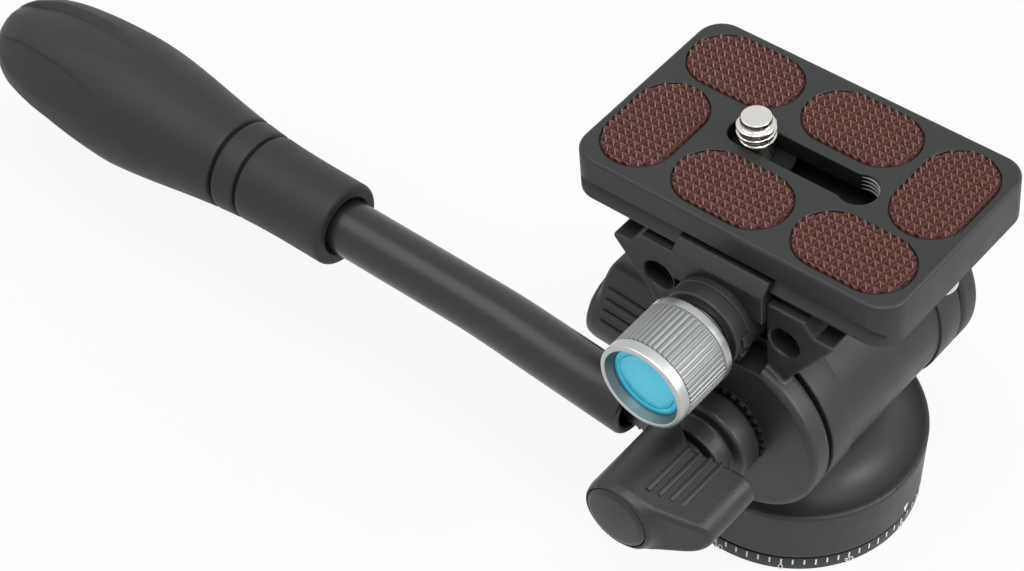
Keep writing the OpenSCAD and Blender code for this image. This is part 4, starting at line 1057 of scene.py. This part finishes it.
def grip_radius(s):
    if s <= NECK_L:
        return NECK_R
    t = (s - NECK_L) / (BULB - NECK_L)
    return NECK_R + (BULB_R - NECK_R) * ((1 - cos(pi * t)) / 2) ** NECK_POWER


def wall(start, end, count):
    """The grip's outside between two distances."""
    places = [start + (end - start) * k / count for k in range(count + 1)]
    return [(grip_radius(s), s) for s in places]


def lip(*points):
    """A rounded end: (where the radius is taken, depth under it, distance)."""
    return [(grip_radius(at) - depth, s) for at, depth, s in points]


def along_grip(profile):
    return lathe([(r, -(GRIP_START + s)) for r, s in profile], "X", loop=True)


front_piece = rounded([(SHAFT_SEAT, 0.75), (5.15, 0.55, 0.1), (5.5, 0.02, 0.3), (NECK_R, 0.02, 1.9),
                       (NECK_R, NECK_L)], steps=8)
front_piece += wall(6.5, 18.3, 10)
front_piece += lip((18.6, 0.1, 18.58), (18.7, 0.4, 18.72), (18.8, 0.9, 18.76)) + [(SHAFT_SEAT, 18.8)]
piece(along_grip(front_piece), "grip_collar_body", "handle", "grip_rubber", HANDLE, ["grip_collar"])
ring_piece = [(SHAFT_SEAT, 19.4)] + lip((19.4, 0.9, 19.42), (19.5, 0.35, 19.46), (19.6, 0.1, 19.6))
ring_piece += wall(19.85, 23.5, 6)
ring_piece += lip((23.8, 0.1, 23.76), (23.9, 0.35, 23.9), (24, 0.9, 23.94)) + [(SHAFT_SEAT, 24)]
piece(along_grip(ring_piece), "grip_ring_body", "handle", "grip_rubber", HANDLE, ["grip_ring"])
# The seat that shows at the bottom of both grooves, near-black as painted shade
seat = [(SHAFT_SEAT, 18.5)] + lip((18.6, 0.85, 18.5), (24.8, 0.85, 24.9)) + [(SHAFT_SEAT, 24.9)]
piece(along_grip(seat), "grip_groove_floor", "handle", "grip_rubber", HANDLE, mat="seal_rubber")

# Bulb with scallops, steep on one side and fading at both ends
SIDES, SCALLOPS, DIP_AT = 360, 6, radians(-1.0)
DIP_DEPTH, DIP_HALF = 1.2, radians(22)
DIP_START, DIP_RISE, DIP_END, DIP_FALL = 46, 18, 79.8, 9
profile = [(SHAFT_SEAT, 24.6)] + lip((24.6, 0.9, 24.62), (24.7, 0.35, 24.66), (24.8, 0.1, 24.8))
profile += wall(25.05, BULB, 60)
profile += [(BULB_R * cos(a) ** BULB_POWER, BULB + (GRIP_L - BULB) * sin(a))
            for a in (radians(90 * k / 40) for k in range(1, 40))]
verts, faces = [], []
for r, s in profile:
    rise = min(1.0, max(0.0, (s - DIP_START) / DIP_RISE))
    fall = min(1.0, max(0.0, (DIP_END - s) / DIP_FALL))
    depth = DIP_DEPTH * rise * (2 - rise) * fall * (2 - fall)
    width = DIP_HALF * (0.12 + 0.88 * rise * (2 - rise)) * (0.4 + 0.6 * fall)
    for k in range(SIDES):
        a = 2 * pi * k / SIDES
        off = math.remainder(a - DIP_AT, 2 * pi / SCALLOPS)
        across = min(2.0, max(0.0, off / width + 1))
        dip = depth * min(1.0, across / 0.22) * (1 - (across / 2) ** 1.7)
        verts.append((-(GRIP_START + s), -(r - dip) * sin(a), (r - dip) * cos(a)))
for i in range(len(profile) - 1):
    faces += quads(i * SIDES, (i + 1) * SIDES, SIDES)
last, tip = len(verts) - SIDES, len(verts)
verts.append((-(GRIP_START + GRIP_L), 0, 0))
faces += [(last + k, last + (k + 1) % SIDES, tip) for k in range(SIDES)]
bottom = len(verts)
verts += [(-(GRIP_START + SHAFT_HOLE_L), -SHAFT_SEAT * s, SHAFT_SEAT * c) for c, s in circle(SIDES)]
faces += quads(bottom, 0, SIDES)
faces.append(tuple(range(bottom, bottom + SIDES)))
piece(build(verts, faces), "handle_grip_body", "handle", "grip_rubber", HANDLE, ["handle_grip"], sharp=30)

# Spring on the clamp screw
COIL_R, COIL_TURNS, COIL_START, COIL_L, COIL_STEPS, WIRE_R = 3.6, 2.5, -17.1, 3.6, 80, 0.38
coil = []
for k in range(COIL_STEPS + 1):
    a = 2 * pi * COIL_TURNS * k / COIL_STEPS
    coil.append((COIL_R * cos(a), COIL_START + COIL_L * k / COIL_STEPS, COIL_R * sin(a)))
spring = tube(coil, [WIRE_R] * len(coil), 12)
piece(at_clamp(spring), "jaw_spring_wire", "tilt_body", "steel", CLAMP, ["jaw_spring"])

# CAD nodes that stay; two of them, seen in dark openings only, get near-black rubber as painted shade
node_slot = {part["node"]: part["material_slot"] for part in frame["record"]["subparts"]}
for name, node in frame["nodes"].items():
    node.data.materials.clear()
    dark = name in ("screw_retainer", "cheek_screws")
    node.data.materials.append(MATS["seal_rubber" if dark else node_slot[name]])

# Floor, nearly white where it is seen, with the object's soft shadow
FLOOR_SIZE, FLOOR_Z, FLOOR_GLOW = 3.0, -0.0002, 0.9
floor = build([(x * FLOOR_SIZE, y * FLOOR_SIZE, FLOOR_Z) for x, y in CORNERS], [(0, 1, 2, 3)])
floor.name = floor.data.name = "floor"
pale = bpy.data.materials.new("floor")
pale.use_nodes = True
tree = pale.node_tree
surface = tree.nodes["Principled BSDF"]
put(surface, {"Base Color": (0.86, 0.86, 0.86, 1), "Roughness": 0.9, "Specular IOR Level": 0.0})
glow = tree.nodes.new("ShaderNodeEmission")
put(glow, {"Color": (1, 1, 1, 1), "Strength": 1.0})
blend = tree.nodes.new("ShaderNodeMixShader")
tree.links.new(calculate(tree, "MULTIPLY", seen_rays(tree), FLOOR_GLOW), blend.inputs["Fac"])
tree.links.new(surface.outputs["BSDF"], blend.inputs[1])
tree.links.new(glow.outputs["Emission"], blend.inputs[2])
tree.links.new(blend.outputs["Shader"], tree.nodes["Material Output"].inputs["Surface"])
floor.data.materials.append(pale)
